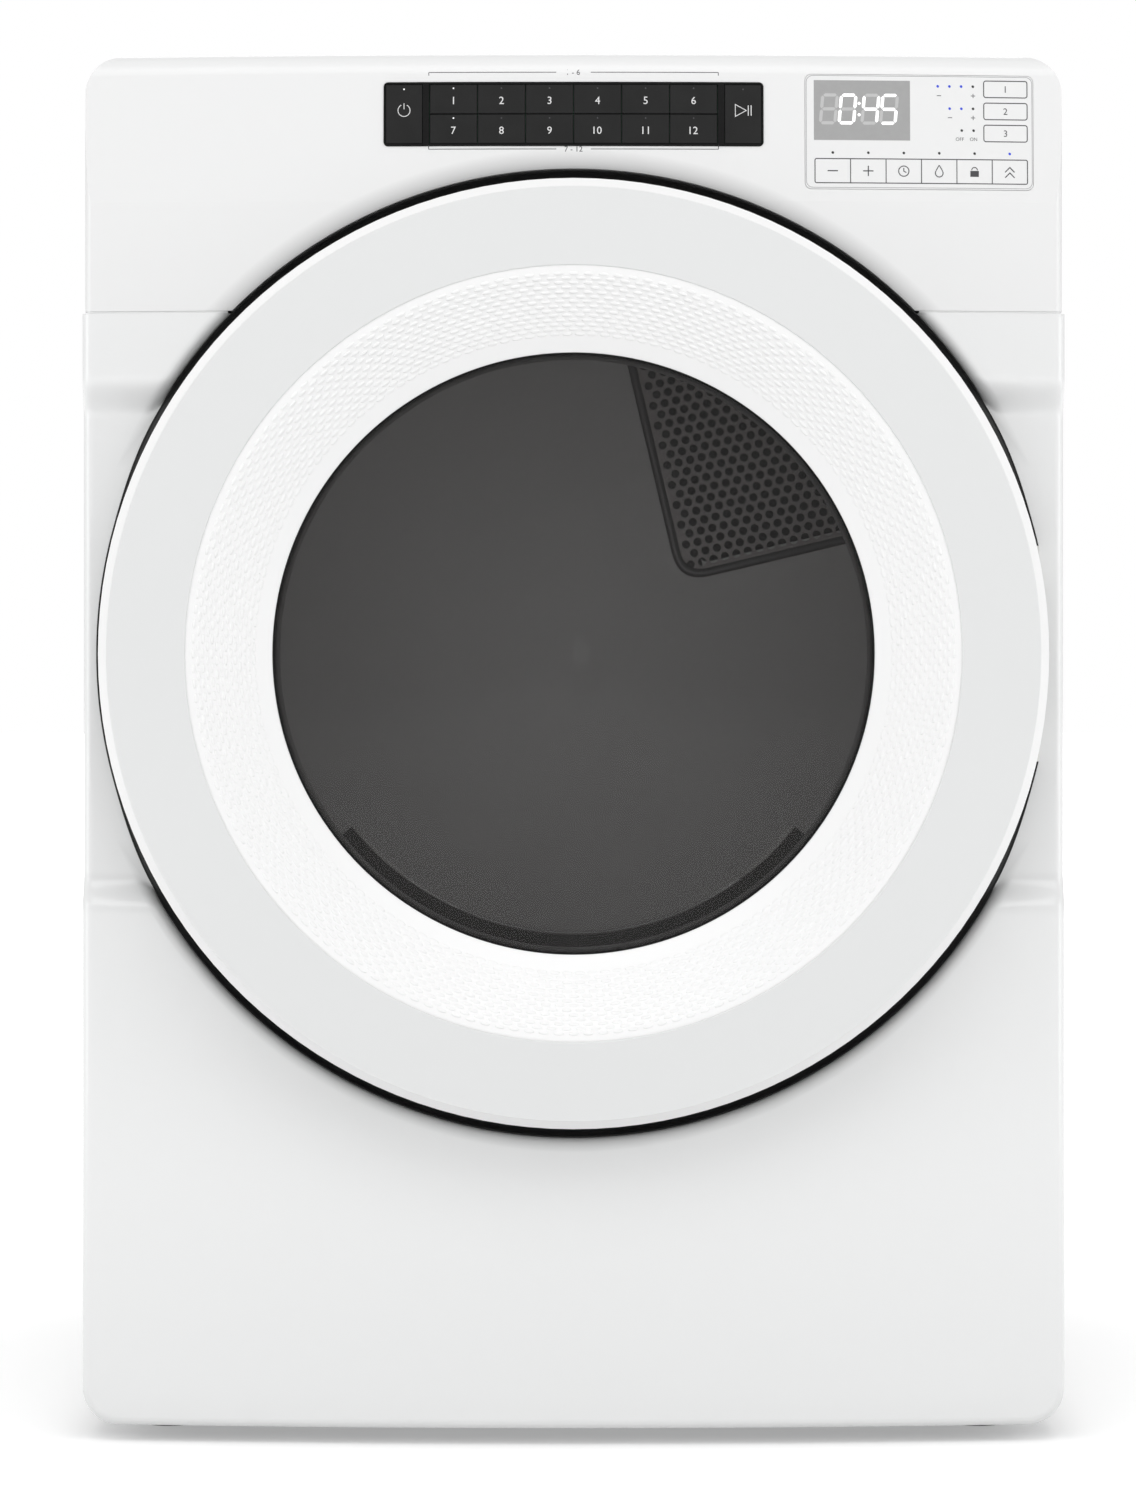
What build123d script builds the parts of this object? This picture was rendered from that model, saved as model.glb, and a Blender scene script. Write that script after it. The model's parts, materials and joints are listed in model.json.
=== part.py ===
from build123d import *

import math
import os

# Front-load clothes dryer, free standing, with a round see-through door.
#
# Millimetres. X to the user's right, Y from the front to the back, Z up. The origin lies on the
# floor under the middle of the machine. Depths along Y are given from the flat floor of the round
# door recess, negative towards the user.

os.makedirs("parts", exist_ok=True)

# ---------------------------------------------------------------- overall sizes
width = 686.0
height = 968.0
depth = 787.0
skirt_z = 12.0
base_z = 22.0
sheet = 1.2
fit = 0.3

# ---------------------------------------------------------------- front of the case
door_proud = 80.0
floor_y = door_proud - depth / 2
collar_proud = 25.0
case_back = depth - door_proud - collar_proud
case_front = 24.0
bulge = 30.0
bow_radius = 2940.0
bow_sweep = 16.0
front_corner = 26.0
front_edge_round = 6.0
door_drop = 418.0
door_z = height - door_drop
recess_margin = 6.5
recess_radius = width / 2 - recess_margin
recess_lip = 6.0
scoop_low = 177.0
scoop_high = 170.0
scoop_slope = 20.0
scoop_step = 15.0
front_reach = 60.0

# ---------------------------------------------------------------- console and keys
seam_drop = 181.0
seam_z = height - seam_drop
seam_gap = 1.5
console_inset = 2.0
console_corner = 28.0
console_wall = 2.5
console_lean = 4.0
console_bend_drop = 104.0
console_bend_z = height - console_bend_drop
console_roll = 16.0
strip_width = 263.5
strip_height = 44.4
strip_drop = 43.4
strip_z = height - strip_drop
strip_rim = 1.2
strip_corner = 3.0
bezel_depth = 6.0
bezel_proud = 0.8
key_columns = 6
key_rows = 2
key_pitch = 33.35
key_row_pitch = 20.9
key_gap = 0.6
end_key_width = 25.6
key_depth = 5.0
key_sink = 0.2
key_travel = 0.8
board_thickness = 1.6
overlay_spare = 12.0
overlay_width = width / 4 - overlay_spare
overlay_height = 80.0
overlay_margin = 102.3
overlay_x = width / 2 - overlay_margin
overlay_drop = 55.2
overlay_z = height - overlay_drop
overlay_corner = 4.5
overlay_thickness = 1.5
overlay_proud = 0.3

# ---------------------------------------------------------------- door
door_gap = 11.0
door_radius = recess_radius - door_gap
door_wall = 3.0
door_bevel = 6.0
rim_back = 27.0
rim_width = 60.0
dish_radius = door_radius - rim_width
dish_step_gap = 0.6
dish_width = 59.0
glass_radius = dish_radius - dish_width
glass_thickness = 4.0
glass_depth = 54.0
ring_return = 10.0
liner_sheet = 1.5
liner_back = 30.0
liner_rim = 39.5
liner_slope = 18.0
liner_step_out = door_radius - liner_rim
liner_step_in = liner_step_out - liner_slope
liner_seat = 8.0
throat_room = 9.5
throat_radius = glass_radius + throat_room
plug_room = 13.0
plug_radius = throat_radius - plug_room
plug_taper = 7.0
plug_tip_radius = plug_radius - plug_taper
plug_reach = 30.0
window_flange = 10.0
seal_land = 6.0
seal_band = 18.0
seal_inner = throat_radius + seal_land
seal_outer = seal_inner + seal_band

# ---------------------------------------------------------------- door hinge and latch
hinge_margin = 7.5
hinge_x = door_radius - hinge_margin
hinge_y = -17.0
hinge_length = 150.0
pin_radius = 3.0
pin_clearance = 0.05
knuckle_radius = 6.0
knuckle_length = 30.0
knuckle_gap = 0.4
leaf_thickness = 3.0
bracket_leaf_width = 56.0
door_leaf_width = 29.0
bracket_leaf_x = hinge_x - bracket_leaf_width
door_leaf_x = hinge_x - door_leaf_width
screw_radius = 2.0
screw_head = 4.2
screw_head_height = 1.8
screw_length = 9.0
door_screw_count = 8
door_screw_inset = 21.5
door_screw_orbit = door_radius - door_screw_inset
latch_inset = 71.5
latch_x = latch_inset - door_radius
strike_length = 18.0
strike_width = 16.0
strike_thickness = 5.0
catch_width = 20.0
catch_height = 40.0
catch_depth = 20.0

# ---------------------------------------------------------------- drum and bulkheads
drum_side_room = 18.0
drum_radius = width / 2 - drum_side_room
drum_sheet = 1.2
drum_front = 82.0
drum_shoulder = 112.0
drum_back_room = 50.0
drum_back = case_back - drum_back_room
shoulder_drop = 26.0
neck_radius = drum_radius - shoulder_drop
neck_length = 16.0
bead_height = 4.0
bead_width = 16.0
bearing_gap = 3.5
bearing_radius = neck_radius - bearing_gap
bulkhead_face = 97.5
rear_disc_room = 64.0
rear_plate_room = 34.0
rear_disc = case_back - rear_disc_room
rear_plate = case_back - rear_plate_room
seal_width = 8.0
baffle_count = 3
baffle_height = 62.0
baffle_foot = 84.0
baffle_crest = 26.0
baffle_start = 150.0
baffle_end_room = 52.0
baffle_length = drum_back - baffle_end_room - baffle_start
baffle_angle = 215.0
roller_radius = 38.0
roller_width = 20.0
roller_angle = 40.0
roller_stud = 6.0
stud_clearance = 0.08
roller_back_gap = 6.0

# ---------------------------------------------------------------- hot-air grille
grille_corner_x = 100.0
grille_corner_z = 66.0
grille_lean = 13.3
grille_side_room = 33.0
grille_arc = drum_radius - grille_side_room
grille_rim = 7.0
grille_pitch = 19.5
grille_hole = 14.0
grille_round = 14.0

# ---------------------------------------------------------------- lint screen and its duct
lip_inset = 17.0
lip_radius = throat_radius - lip_inset
lip_half_angle = 52.0
lip_front = 36.0
duct_width = 252.0
duct_wall = 2.5
duct_front = 44.0
duct_back = 79.0
duct_slots = 9
duct_base_z = 34.0
duct_inlet_x = 228.0
duct_inlet_top = 199.0
screen_width = 236.0
screen_thickness = 12.0
screen_front = 58.0
screen_clearance = 0.4
screen_drop = 190.0
screen_frame = 9.0
screen_ribs = 4
mesh_thickness = 1.0

# ---------------------------------------------------------------- drive, air and heat
motor_x = 140.0
motor_z = 109.0
motor_radius = 56.0
motor_front = 160.0
motor_back = 318.0
shaft_radius = 6.35
shaft_clearance = 0.06
belt_y = 345.0
belt_width = 10.0
belt_thickness = 2.4
belt_gap = 0.3
pulley_radius = 11.0
pulley_flange = 15.0
pulley_width = 16.0
idler_x = 100.0
idler_z = 149.0
idler_radius = 22.0
pivot_x = 170.0
pivot_z = 64.0
pivot_radius = 4.0
arm_width = 18.0
arm_thickness = 3.0
blower_front = 79.5
blower_back = 145.0
blower_radius = 84.0
blower_wall = 2.5
blower_eye = 46.0
wheel_radius = 70.0
wheel_depth = 44.0
blade_count = 16
blade_angle = 35.0
exhaust_radius = 50.8
exhaust_wall = 1.0
exhaust_step = 0.8
exhaust_z = 89.0
heater_depth = 28.0
heater_low = 174.0
heater_drop = 134.0
heater_high = height - heater_drop
heater_margin = 43.0
heater_width = 208.0
heater_right = width / 2 - heater_margin
heater_left = heater_right - heater_width
heater_wall = 1.0

# ---------------------------------------------------------------- case
side_inset = 1.0
side_flange = 18.0
top_z = height - side_inset
top_round = 25.0
top_drop = 26.0
tray_height = 15.0
foot_side = 55.0
foot_x = width / 2 - foot_side
foot_inset = 84.0
foot_radius = 22.0
foot_pad = 12.0
foot_stem = 6.0
foot_clearance = 0.1
foot_stem_top = 56.0
cord_hole_radius = 16.0
cord_hole_x = -190.0
cord_hole_z = 134.0

# ---------------------------------------------------------------- places worked out once
bow_y = floor_y - bulge + bow_radius
bow_axis = Axis((0, bow_y, 0), (0, 0, 1))
door_axis = Axis((0, floor_y, door_z), (0, 1, 0))
door_middle = Vector(0, door_z)
side_x = width / 2 - side_inset
back_y = floor_y + case_back
roller_orbit = drum_radius + drum_sheet + fit + roller_radius
roller_x = roller_orbit * math.sin(math.radians(roller_angle))
roller_z = door_z - roller_orbit * math.cos(math.radians(roller_angle))
roller_front = drum_back - roller_back_gap - roller_width
stack_height = (key_rows - 1) * key_row_pitch
key_height = key_row_pitch - key_gap
grid_width = key_columns * key_pitch
end_key_x = strip_width / 2 - strip_rim - end_key_width / 2


def across(distance):
    """Plane square to the depth, a distance behind the recess floor, facing the user."""
    return Plane.XZ.offset(-(floor_y + distance))


def section(x=0.0, z=door_z):
    """Vertical plane through a depth axis: first depth behind the recess floor, then radius."""
    return Plane(origin=(x, floor_y, z), x_dir=(0, 1, 0), z_dir=(1, 0, 0))


def write(piece, name):
    """Label a finished piece and write its STEP file."""
    piece.part.label = name
    export_step(piece.part, f"parts/{name}.step")


def turn(points, x=0.0, z=door_z, mode=Mode.ADD):
    """Revolve a closed outline of (depth, radius) points about the depth axis through x, z."""
    with BuildSketch(section(x, z)) as profile:
        with BuildLine():
            Polyline(*points, close=True)
        make_face()
    revolve(profile.sketch, axis=Axis((x, floor_y, z), (0, 1, 0)), mode=mode)


def tube(radius, wall, start, end, x=0.0, z=door_z, mode=Mode.ADD):
    """Plain tube or, with no wall, a cylinder along the depth."""
    with BuildSketch(across(start)) as ring:
        with Locations((x, z)):
            Circle(radius)
            if wall:
                Circle(radius - wall, mode=Mode.SUBTRACT)
    extrude(ring.sketch, amount=start - end, mode=mode)


def block(x_range, depth_range, z_range, mode=Mode.ADD):
    """Box between limits: x, depth behind the recess floor, height."""
    size = (x_range[1] - x_range[0], depth_range[1] - depth_range[0], z_range[1] - z_range[0])
    centre = (sum(x_range) / 2, floor_y + sum(depth_range) / 2, sum(z_range) / 2)
    with Locations(centre):
        Box(*size, mode=mode)


def bow_start():
    """Plane through the bow's axis at the left end of the front: radius first, then height."""
    turned = math.radians(-bow_sweep / 2)
    outward = (math.sin(turned), -math.cos(turned), 0)
    normal = (-math.cos(turned), -math.sin(turned), 0)
    return Plane(origin=(0, bow_y, 0), x_dir=outward, z_dir=normal)


def bowed(points, mode=Mode.ADD):
    """Revolve an outline of (depth at the crown, height) points round the bow of the front."""
    with BuildSketch(bow_start()) as profile:
        with BuildLine():
            Polyline(*[(bow_y - floor_y - away, z) for away, z in points], close=True)
        make_face()
    revolve(profile.sketch, axis=bow_axis, revolution_arc=bow_sweep, mode=mode)


# ================================================================ front panel


def panel_form(skin):
    """The front panel's space, drawn in from its painted surface by a skin."""
    with BuildPart() as form:
        low, high = skirt_z + skin, seam_z - skin
        bowed([(skin - bulge, low), (skin - bulge, high), (front_reach, high), (front_reach, low)])
        with BuildSketch(across(case_front)) as outline:
            with BuildLine():
                side = width / 2 - skin
                FilletPolyline(
                    (-side, high), (-side, low), (side, low), (side, high), radius=front_corner - skin
                )
                Line((side, high), (-side, high))
            make_face()
        extrude(outline.sketch, amount=2 * front_reach, mode=Mode.INTERSECT)
        skin_face = form.faces().filter_by(GeomType.CYLINDER).sort_by(Axis.Y)[0]
        rim = skin_face.edges().group_by(Axis.Z)[:-1]
        fillet([edge for group in rim for edge in group], radius=front_edge_round - skin)
        with BuildSketch(Plane.YZ) as scoop:
            with BuildLine():
                flare = scoop_slope / scoop_step * front_reach
                low_z, high_z = door_z - scoop_low + scoop_slope, door_z + scoop_high - scoop_slope
                Polyline(
                    (floor_y, low_z),
                    (floor_y - front_reach, low_z - flare),
                    (floor_y - front_reach, high_z + flare),
                    (floor_y, high_z),
                    close=True,
                )
            make_face()
            if skin:
                offset(amount=skin)
        extrude(scoop.sketch, amount=width, both=True, mode=Mode.SUBTRACT)
        tube(recess_radius + skin, 0, -front_reach, skin, mode=Mode.SUBTRACT)
        recess_wall = form.faces().filter_by(GeomType.CYLINDER).filter_by(
            lambda face: abs(face.radius - recess_radius - skin) < fit
        )
        crest = [edge for edge in recess_wall.edges() if edge.center().Y < floor_y - recess_lip
                 and edge.length > scoop_high / 2 and abs(edge.center().Z - seam_z) > sheet * 2]
        fillet(crest, radius=recess_lip - skin)
    return form.part




# ================================================================ console


def console_line(proud):
    """Points up the console's face, a distance in front of it: depth at the crown, height."""
    lean = math.radians(console_lean)
    top = height - console_roll * (1 - math.sin(lean))
    leaned = (top - console_bend_z) * math.tan(lean)
    return [
        (-bulge - proud, seam_z + seam_gap),
        (-bulge - proud, console_bend_z + proud * math.tan(lean / 2)),
        (-bulge - proud * math.cos(lean) + leaned, top + proud * math.sin(lean)),
    ]


def console_form(skin):
    """The console moulding's space, drawn in from its surface by a skin."""
    low = seam_z + seam_gap + skin
    face_line = console_line(-skin)[1:]
    with BuildPart() as form:
        with BuildSketch(bow_start()) as profile:
            with BuildLine():
                ring = [(bow_y - floor_y - away, z) for away, z in [(skin - bulge, low), *face_line]]
                front_edge = Polyline(*ring)
                crown = JernArc(
                    start=front_edge @ 1,
                    tangent=front_edge % 1,
                    radius=console_roll - skin,
                    arc_size=90 - console_lean,
                )
                inner = bow_y - floor_y - front_reach
                Polyline(crown @ 1, (inner, (crown @ 1).Y), (inner, low), ring[0])
            make_face()
        revolve(profile.sketch, axis=bow_axis, revolution_arc=bow_sweep)
        side = width / 2 - console_inset - skin
        with BuildSketch(across(case_front)) as outline:
            with BuildLine():
                FilletPolyline(
                    (-side, low),
                    (-side, height - skin),
                    (side, height - skin),
                    (side, low),
                    radius=console_corner - skin,
                )
                Line((side, low), (-side, low))
            make_face()
        extrude(outline.sketch, amount=2 * front_reach, mode=Mode.INTERSECT)
        radius = front_edge_round - skin
        for hand in (-1, 1):
            with BuildSketch(Plane.XY.offset(low)) as corner:
                with BuildLine():
                    spin = math.asin((side - radius) / (bow_radius - front_edge_round))
                    centre_y = bow_y - (bow_radius - front_edge_round) * math.cos(spin)
                    outward = Vector(hand * math.sin(spin), -math.cos(spin))
                    centre = Vector(hand * (side - radius), centre_y)
                    on_face, on_end = centre + outward * radius, centre + Vector(hand * radius, 0)
                    halfway = centre + (outward + Vector(hand, 0)).normalized() * radius
                    ThreePointArc(on_end, halfway, on_face)
                    far_face, far_end = on_face + outward * radius, on_end + Vector(hand * radius, 0)
                    Polyline(on_face, far_face, Vector(far_end.X, far_face.Y), far_end, on_end)
                make_face()
            extrude(corner.sketch, amount=height, mode=Mode.SUBTRACT)
        tube(recess_radius + skin, 0, -front_reach, front_reach, mode=Mode.SUBTRACT)
    return form.part


def patch(x_range, z_range, corner, proud, back, grow=0.0):
    """A piece of the console's face between two depths, trimmed to a rounded rectangle."""
    outer, inner = console_line(proud), console_line(-back)
    with BuildPart() as piece:
        with BuildSketch(bow_start()) as profile:
            with BuildLine():
                points = [*outer, *reversed(inner)]
                Polyline(*[(bow_y - floor_y - away, z) for away, z in points], close=True)
            make_face()
        revolve(profile.sketch, axis=bow_axis, revolution_arc=bow_sweep)
        with BuildSketch(across(front_reach)) as outline:
            with Locations((sum(x_range) / 2, sum(z_range) / 2)):
                wide = x_range[1] - x_range[0] + 2 * grow
                tall = z_range[1] - z_range[0] + 2 * grow
                if corner:
                    RectangleRounded(wide, tall, corner + grow)
                else:
                    Rectangle(wide, tall)
        extrude(outline.sketch, amount=3 * front_reach, mode=Mode.INTERSECT)
    return piece.part


strip_x_range = (-strip_width / 2, strip_width / 2)
strip_z_range = (strip_z - strip_height / 2, strip_z + strip_height / 2)
overlay_x_range = (overlay_x - overlay_width / 2, overlay_x + overlay_width / 2)
overlay_z_range = (overlay_z - overlay_height / 2, overlay_z + overlay_height / 2)
keys_z_range = (strip_z - stack_height / 2 - key_height / 2, strip_z + stack_height / 2 + key_height / 2)

key_places = {
    "key_power": ((-end_key_x - end_key_width / 2, -end_key_x + end_key_width / 2), keys_z_range),
    "key_start": ((end_key_x - end_key_width / 2, end_key_x + end_key_width / 2), keys_z_range),
}
for row in range(key_rows):
    for column in range(key_columns):
        middle_x = (column - (key_columns - 1) / 2) * key_pitch
        middle_z = strip_z + stack_height / 2 - row * key_row_pitch
        half_wide, half_tall = (key_pitch - key_gap) / 2, key_height / 2
        key_places[f"key_cycle_{row * key_columns + column + 1}"] = (
            (middle_x - half_wide, middle_x + half_wide),
            (middle_z - half_tall, middle_z + half_tall),
        )

with BuildPart() as console_fascia:
    add(console_form(0))
    add(console_form(console_wall), mode=Mode.SUBTRACT)
    add(patch(strip_x_range, strip_z_range, strip_corner, front_reach, bezel_depth, fit), mode=Mode.SUBTRACT)
    add(
        patch(overlay_x_range, overlay_z_range, overlay_corner, front_reach, overlay_thickness, fit),
        mode=Mode.SUBTRACT,
    )
write(console_fascia, "console_fascia")

with BuildPart() as key_bezel:
    add(patch(strip_x_range, strip_z_range, strip_corner, bezel_proud, bezel_depth))
    grid_range = (-grid_width / 2, grid_width / 2)
    for x_range in (key_places["key_power"][0], grid_range, key_places["key_start"][0]):
        add(patch(x_range, keys_z_range, 0, front_reach, front_reach, fit), mode=Mode.SUBTRACT)
write(key_bezel, "key_bezel")

for name, (x_range, z_range) in key_places.items():
    with BuildPart() as key_cap:
        add(patch(x_range, z_range, 0, bezel_proud - key_sink, key_depth))
        face_edges = key_cap.faces().sort_by(Axis.Y)[0].edges()
        chamfer(face_edges, length=key_sink * 2)
    write(key_cap, name)

with BuildPart() as control_board:
    board_front = key_depth + key_travel + key_gap
    add(patch(strip_x_range, strip_z_range, 0, -board_front, board_front + board_thickness, console_wall))
    for x_range, z_range in key_places.values():
        middle = (sum(x_range) / 2, sum(z_range) / 2)
        add(
            patch(
                (middle[0] - key_depth, middle[0] + key_depth),
                (middle[1] - key_depth / 2, middle[1] + key_depth / 2),
                0,
                -(board_front - key_gap / 2),
                board_front,
            )
        )
write(control_board, "control_board")

with BuildPart() as control_overlay:
    add(patch(overlay_x_range, overlay_z_range, overlay_corner, overlay_proud, overlay_thickness - fit))
write(control_overlay, "control_overlay")

# ================================================================ case
for side, name in ((-1, "left_side_panel"), (1, "right_side_panel")):
    with BuildPart() as side_panel:
        wall_x = sorted((side * side_x, side * (side_x - sheet)))
        lip_x = sorted((side * side_x, side * (side_x - side_flange)))
        side_top = top_z - top_drop - fit
        block(wall_x, (case_front, case_back - sheet), (base_z, side_top))
        block(lip_x, (case_front, case_front + sheet), (base_z, side_top))
        block(lip_x, (case_back - 2 * sheet, case_back - sheet), (base_z, side_top))
        stamped = side_panel.faces().sort_by(Axis.X)[0 if side < 0 else -1]
        with BuildSketch(Plane.YZ.offset(side * (side_x - sheet / 2))) as pressing:
            with Locations((floor_y + (case_front + case_back) / 2, (base_z + side_top) / 2)):
                RectangleRounded(
                    case_back - case_front - 4 * side_flange, side_top - base_z - 4 * side_flange, side_flange
                )
        extrude(pressing.sketch, amount=side * sheet, mode=Mode.SUBTRACT)
        extrude(pressing.sketch, amount=-side * sheet)
    write(side_panel, name)

with BuildPart() as top_panel:
    half = side_x - side_inset / 2
    low = top_z - top_drop
    with BuildSketch(across(case_front)) as hoop:
        with BuildLine():
            FilletPolyline((-half, low), (-half, top_z), (half, top_z), (half, low), radius=top_round)
            Line((half, low), (-half, low))
        make_face()
    extrude(hoop.sketch, amount=case_front - case_back)
    with BuildSketch(across(case_front + sheet)) as hollow:
        with BuildLine():
            inner, roof = half - sheet, top_z - sheet
            arch = [(-inner, low), (-inner, roof), (inner, roof), (inner, low)]
            FilletPolyline(*arch, radius=top_round - sheet)
            Line((inner, low), (-inner, low))
        make_face()
    extrude(hollow.sketch, amount=case_front - case_back + 2 * sheet, mode=Mode.SUBTRACT)
write(top_panel, "top_panel")

with BuildPart() as rear_panel:
    half = side_x - side_inset - sheet
    with BuildSketch(across(case_back - sheet)) as plate:
        with Locations((0, (base_z + top_z - top_drop) / 2)):
            Rectangle(2 * half, top_z - top_drop - base_z - fit)
        with Locations((0, exhaust_z)):
            Circle(exhaust_radius + 1, mode=Mode.SUBTRACT)
        with Locations((cord_hole_x, cord_hole_z)):
            Circle(cord_hole_radius, mode=Mode.SUBTRACT)
        with Locations((-half / 2, top_z - 8 * side_flange)):
            with GridLocations(2 * side_flange, side_flange, 6, 5):
                SlotOverall(1.5 * side_flange, side_flange / 4, mode=Mode.SUBTRACT)
    extrude(plate.sketch, amount=-sheet)
write(rear_panel, "rear_panel")

with BuildPart() as terminal_cover:
    with BuildSketch(across(case_back)) as cover:
        with Locations((cord_hole_x, cord_hole_z + cord_hole_radius + 4.5 * side_flange)):
            RectangleRounded(5 * side_flange, 8 * side_flange, side_flange / 3)
    extrude(cover.sketch, amount=-side_flange / 2)
    fillet(terminal_cover.faces().sort_by(Axis.Y)[-1].edges(), radius=side_flange / 6)
    cavity_size = (5 * side_flange - 2 * sheet, side_flange / 2 - sheet, 8 * side_flange - 2 * sheet)
    cavity_z = cord_hole_z + cord_hole_radius + 4.5 * side_flange
    with Locations((cord_hole_x, back_y + cavity_size[1] / 2, cavity_z)):
        Box(*cavity_size, mode=Mode.SUBTRACT)
write(terminal_cover, "terminal_cover")

foot_places = {
    "foot_front_left": (-foot_x, foot_inset),
    "foot_front_right": (foot_x, foot_inset),
    "foot_rear_left": (-foot_x, case_back - foot_inset),
    "foot_rear_right": (foot_x, case_back - foot_inset),
}
with BuildPart() as base_pan:
    half = side_x - sheet
    tray_front, tray_back = case_front + 2 * sheet, case_back - 3 * sheet
    block((-half, half), (tray_front, tray_back), (base_z, base_z + tray_height))
    block(
        (-half + sheet, half - sheet),
        (tray_front + sheet, tray_back - sheet),
        (base_z + sheet, base_z + 2 * tray_height),
        mode=Mode.SUBTRACT,
    )
    with Locations(*[(x, floor_y + away, base_z) for x, away in foot_places.values()]):
        Cylinder(2 * foot_stem, foot_pad, align=(Align.CENTER, Align.CENTER, Align.MIN))
        Cylinder(foot_stem + foot_clearance, 3 * tray_height, mode=Mode.SUBTRACT)
write(base_pan, "base_pan")

for name, (x, away) in foot_places.items():
    with BuildPart() as foot:
        with Locations((x, floor_y + away, 0)):
            Cone(
                foot_radius, foot_radius - foot_pad / 3, foot_pad,
                align=(Align.CENTER, Align.CENTER, Align.MIN),
            )
            Cylinder(foot_stem, foot_stem_top, align=(Align.CENTER, Align.CENTER, Align.MIN))
    write(foot, name)

# ================================================================ door
with BuildPart() as door_outer_ring:
    front, corner = -door_proud, door_bevel
    inner = door_radius - door_wall
    turn(
        [
            (-rim_back, door_radius - sheet),
            (front + corner, door_radius),
            (front, door_radius - corner),
            (front, dish_radius),
            (front + ring_return, dish_radius),
            (front + ring_return, dish_radius + door_wall),
            (front + door_wall, dish_radius + door_wall),
            (front + door_wall, inner - corner),
            (front + corner + door_wall, inner),
            (-rim_back, inner - sheet),
        ]
    )
    lip = door_outer_ring.edges().filter_by(GeomType.CIRCLE).group_by(Axis.Y)[0].sort_by(SortBy.RADIUS)[0]
    fillet(lip, radius=sheet)
write(door_outer_ring, "door_outer_ring")

with BuildPart() as door_dish_ring:
    front, outer = -door_proud, dish_radius - dish_step_gap
    flange = front + ring_return
    turn(
        [
            (front + dish_step_gap, outer),
            (flange + fit, outer),
            (flange + fit, dish_radius + 2 * door_wall),
            (flange + fit + door_wall, dish_radius + 2 * door_wall),
            (flange + fit + door_wall, outer - door_wall),
            (-glass_depth + glass_thickness + door_wall, glass_radius + door_wall),
            (-glass_depth + glass_thickness + door_wall, glass_radius - door_wall),
            (-glass_depth + glass_thickness + fit, glass_radius - door_wall),
            (-glass_depth + glass_thickness + fit, glass_radius + fit),
            (-glass_depth, glass_radius + fit),
            (front + dish_step_gap + door_wall / 2, outer - 2 * door_wall),
        ]
    )
write(door_dish_ring, "door_dish_ring")

with BuildPart() as door_glass:
    turn(
        [
            (-glass_depth - glass_thickness / 2, 0),
            (-glass_depth - glass_thickness / 4, glass_radius / 2),
            (-glass_depth, glass_radius),
            (-glass_depth + glass_thickness, glass_radius),
            (-glass_depth + glass_thickness, 0),
        ]
    )
write(door_glass, "door_glass")

with BuildPart() as door_inner_panel:
    rim = door_radius - door_wall - sheet - fit
    skin = liner_sheet
    turn(
        [
            (-liner_back, rim),
            (-liner_back, liner_step_out),
            (-liner_seat, liner_step_in),
            (-liner_seat, plug_radius),
            (plug_reach, plug_tip_radius),
            (plug_reach, plug_tip_radius - window_flange),
            (plug_reach - skin, plug_tip_radius - window_flange),
            (plug_reach - skin, plug_tip_radius - skin),
            (-liner_seat - skin, plug_radius - skin),
            (-liner_seat - skin, liner_step_in - skin),
            (-liner_back - skin, liner_step_out - skin),
            (-liner_back - skin, rim),
        ]
    )
    with BuildSketch(across(-liner_back)) as holes:
        with Locations((0, door_z)):
            with PolarLocations(door_screw_orbit, door_screw_count, 180 / door_screw_count):
                Circle(screw_radius + foot_clearance)
    extrude(holes.sketch, amount=2 * skin, both=True, mode=Mode.SUBTRACT)
write(door_inner_panel, "door_inner_panel")

with BuildPart() as door_inner_window:
    seat = plug_reach - liner_sheet - fit
    edge = plug_tip_radius - liner_sheet - fit
    turn([(seat, 0), (seat, edge), (seat - door_wall, edge), (seat - door_wall, 0)])
write(door_inner_window, "door_inner_window")

with BuildPart() as door_seal:
    with BuildSketch(section()) as lip_profile:
        seal_middle = (seal_inner + seal_outer) / 2
        with Locations((-liner_seat / 2, seal_middle)):
            RectangleRounded(liner_seat - 2 * fit, seal_outer - seal_inner, liner_seat / 4)
    revolve(lip_profile.sketch, axis=door_axis)
write(door_seal, "door_seal")

hinge_low, hinge_high = door_z - hinge_length / 2, door_z + hinge_length / 2
knuckle_levels = [(hinge_low, hinge_low + knuckle_length), (hinge_high - knuckle_length, hinge_high)]
hinge_point = (hinge_x, floor_y + hinge_y)

with BuildPart() as hinge_bracket:
    bracket_end = hinge_x - knuckle_radius * 2
    block((bracket_leaf_x, bracket_end), (-leaf_thickness, 0), (hinge_low, hinge_high))
    for low, high in knuckle_levels:
        with BuildSketch(Plane.XY.offset(low)) as knuckle:
            with BuildLine():
                Polyline(
                    (bracket_end - leaf_thickness, floor_y),
                    (hinge_x + leaf_thickness, floor_y),
                    (hinge_x + leaf_thickness, floor_y + hinge_y),
                    (hinge_x - leaf_thickness, floor_y + hinge_y),
                    (hinge_x - leaf_thickness, floor_y - leaf_thickness),
                    (bracket_end - leaf_thickness, floor_y - leaf_thickness),
                    close=True,
                )
            make_face()
            with Locations(hinge_point):
                Circle(knuckle_radius)
        extrude(knuckle.sketch, amount=high - low)
    with BuildSketch(Plane.XY.offset(hinge_low)) as pin:
        with Locations(hinge_point):
            Circle(pin_radius)
    extrude(pin.sketch, amount=hinge_length)
write(hinge_bracket, "hinge_bracket")

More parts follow.
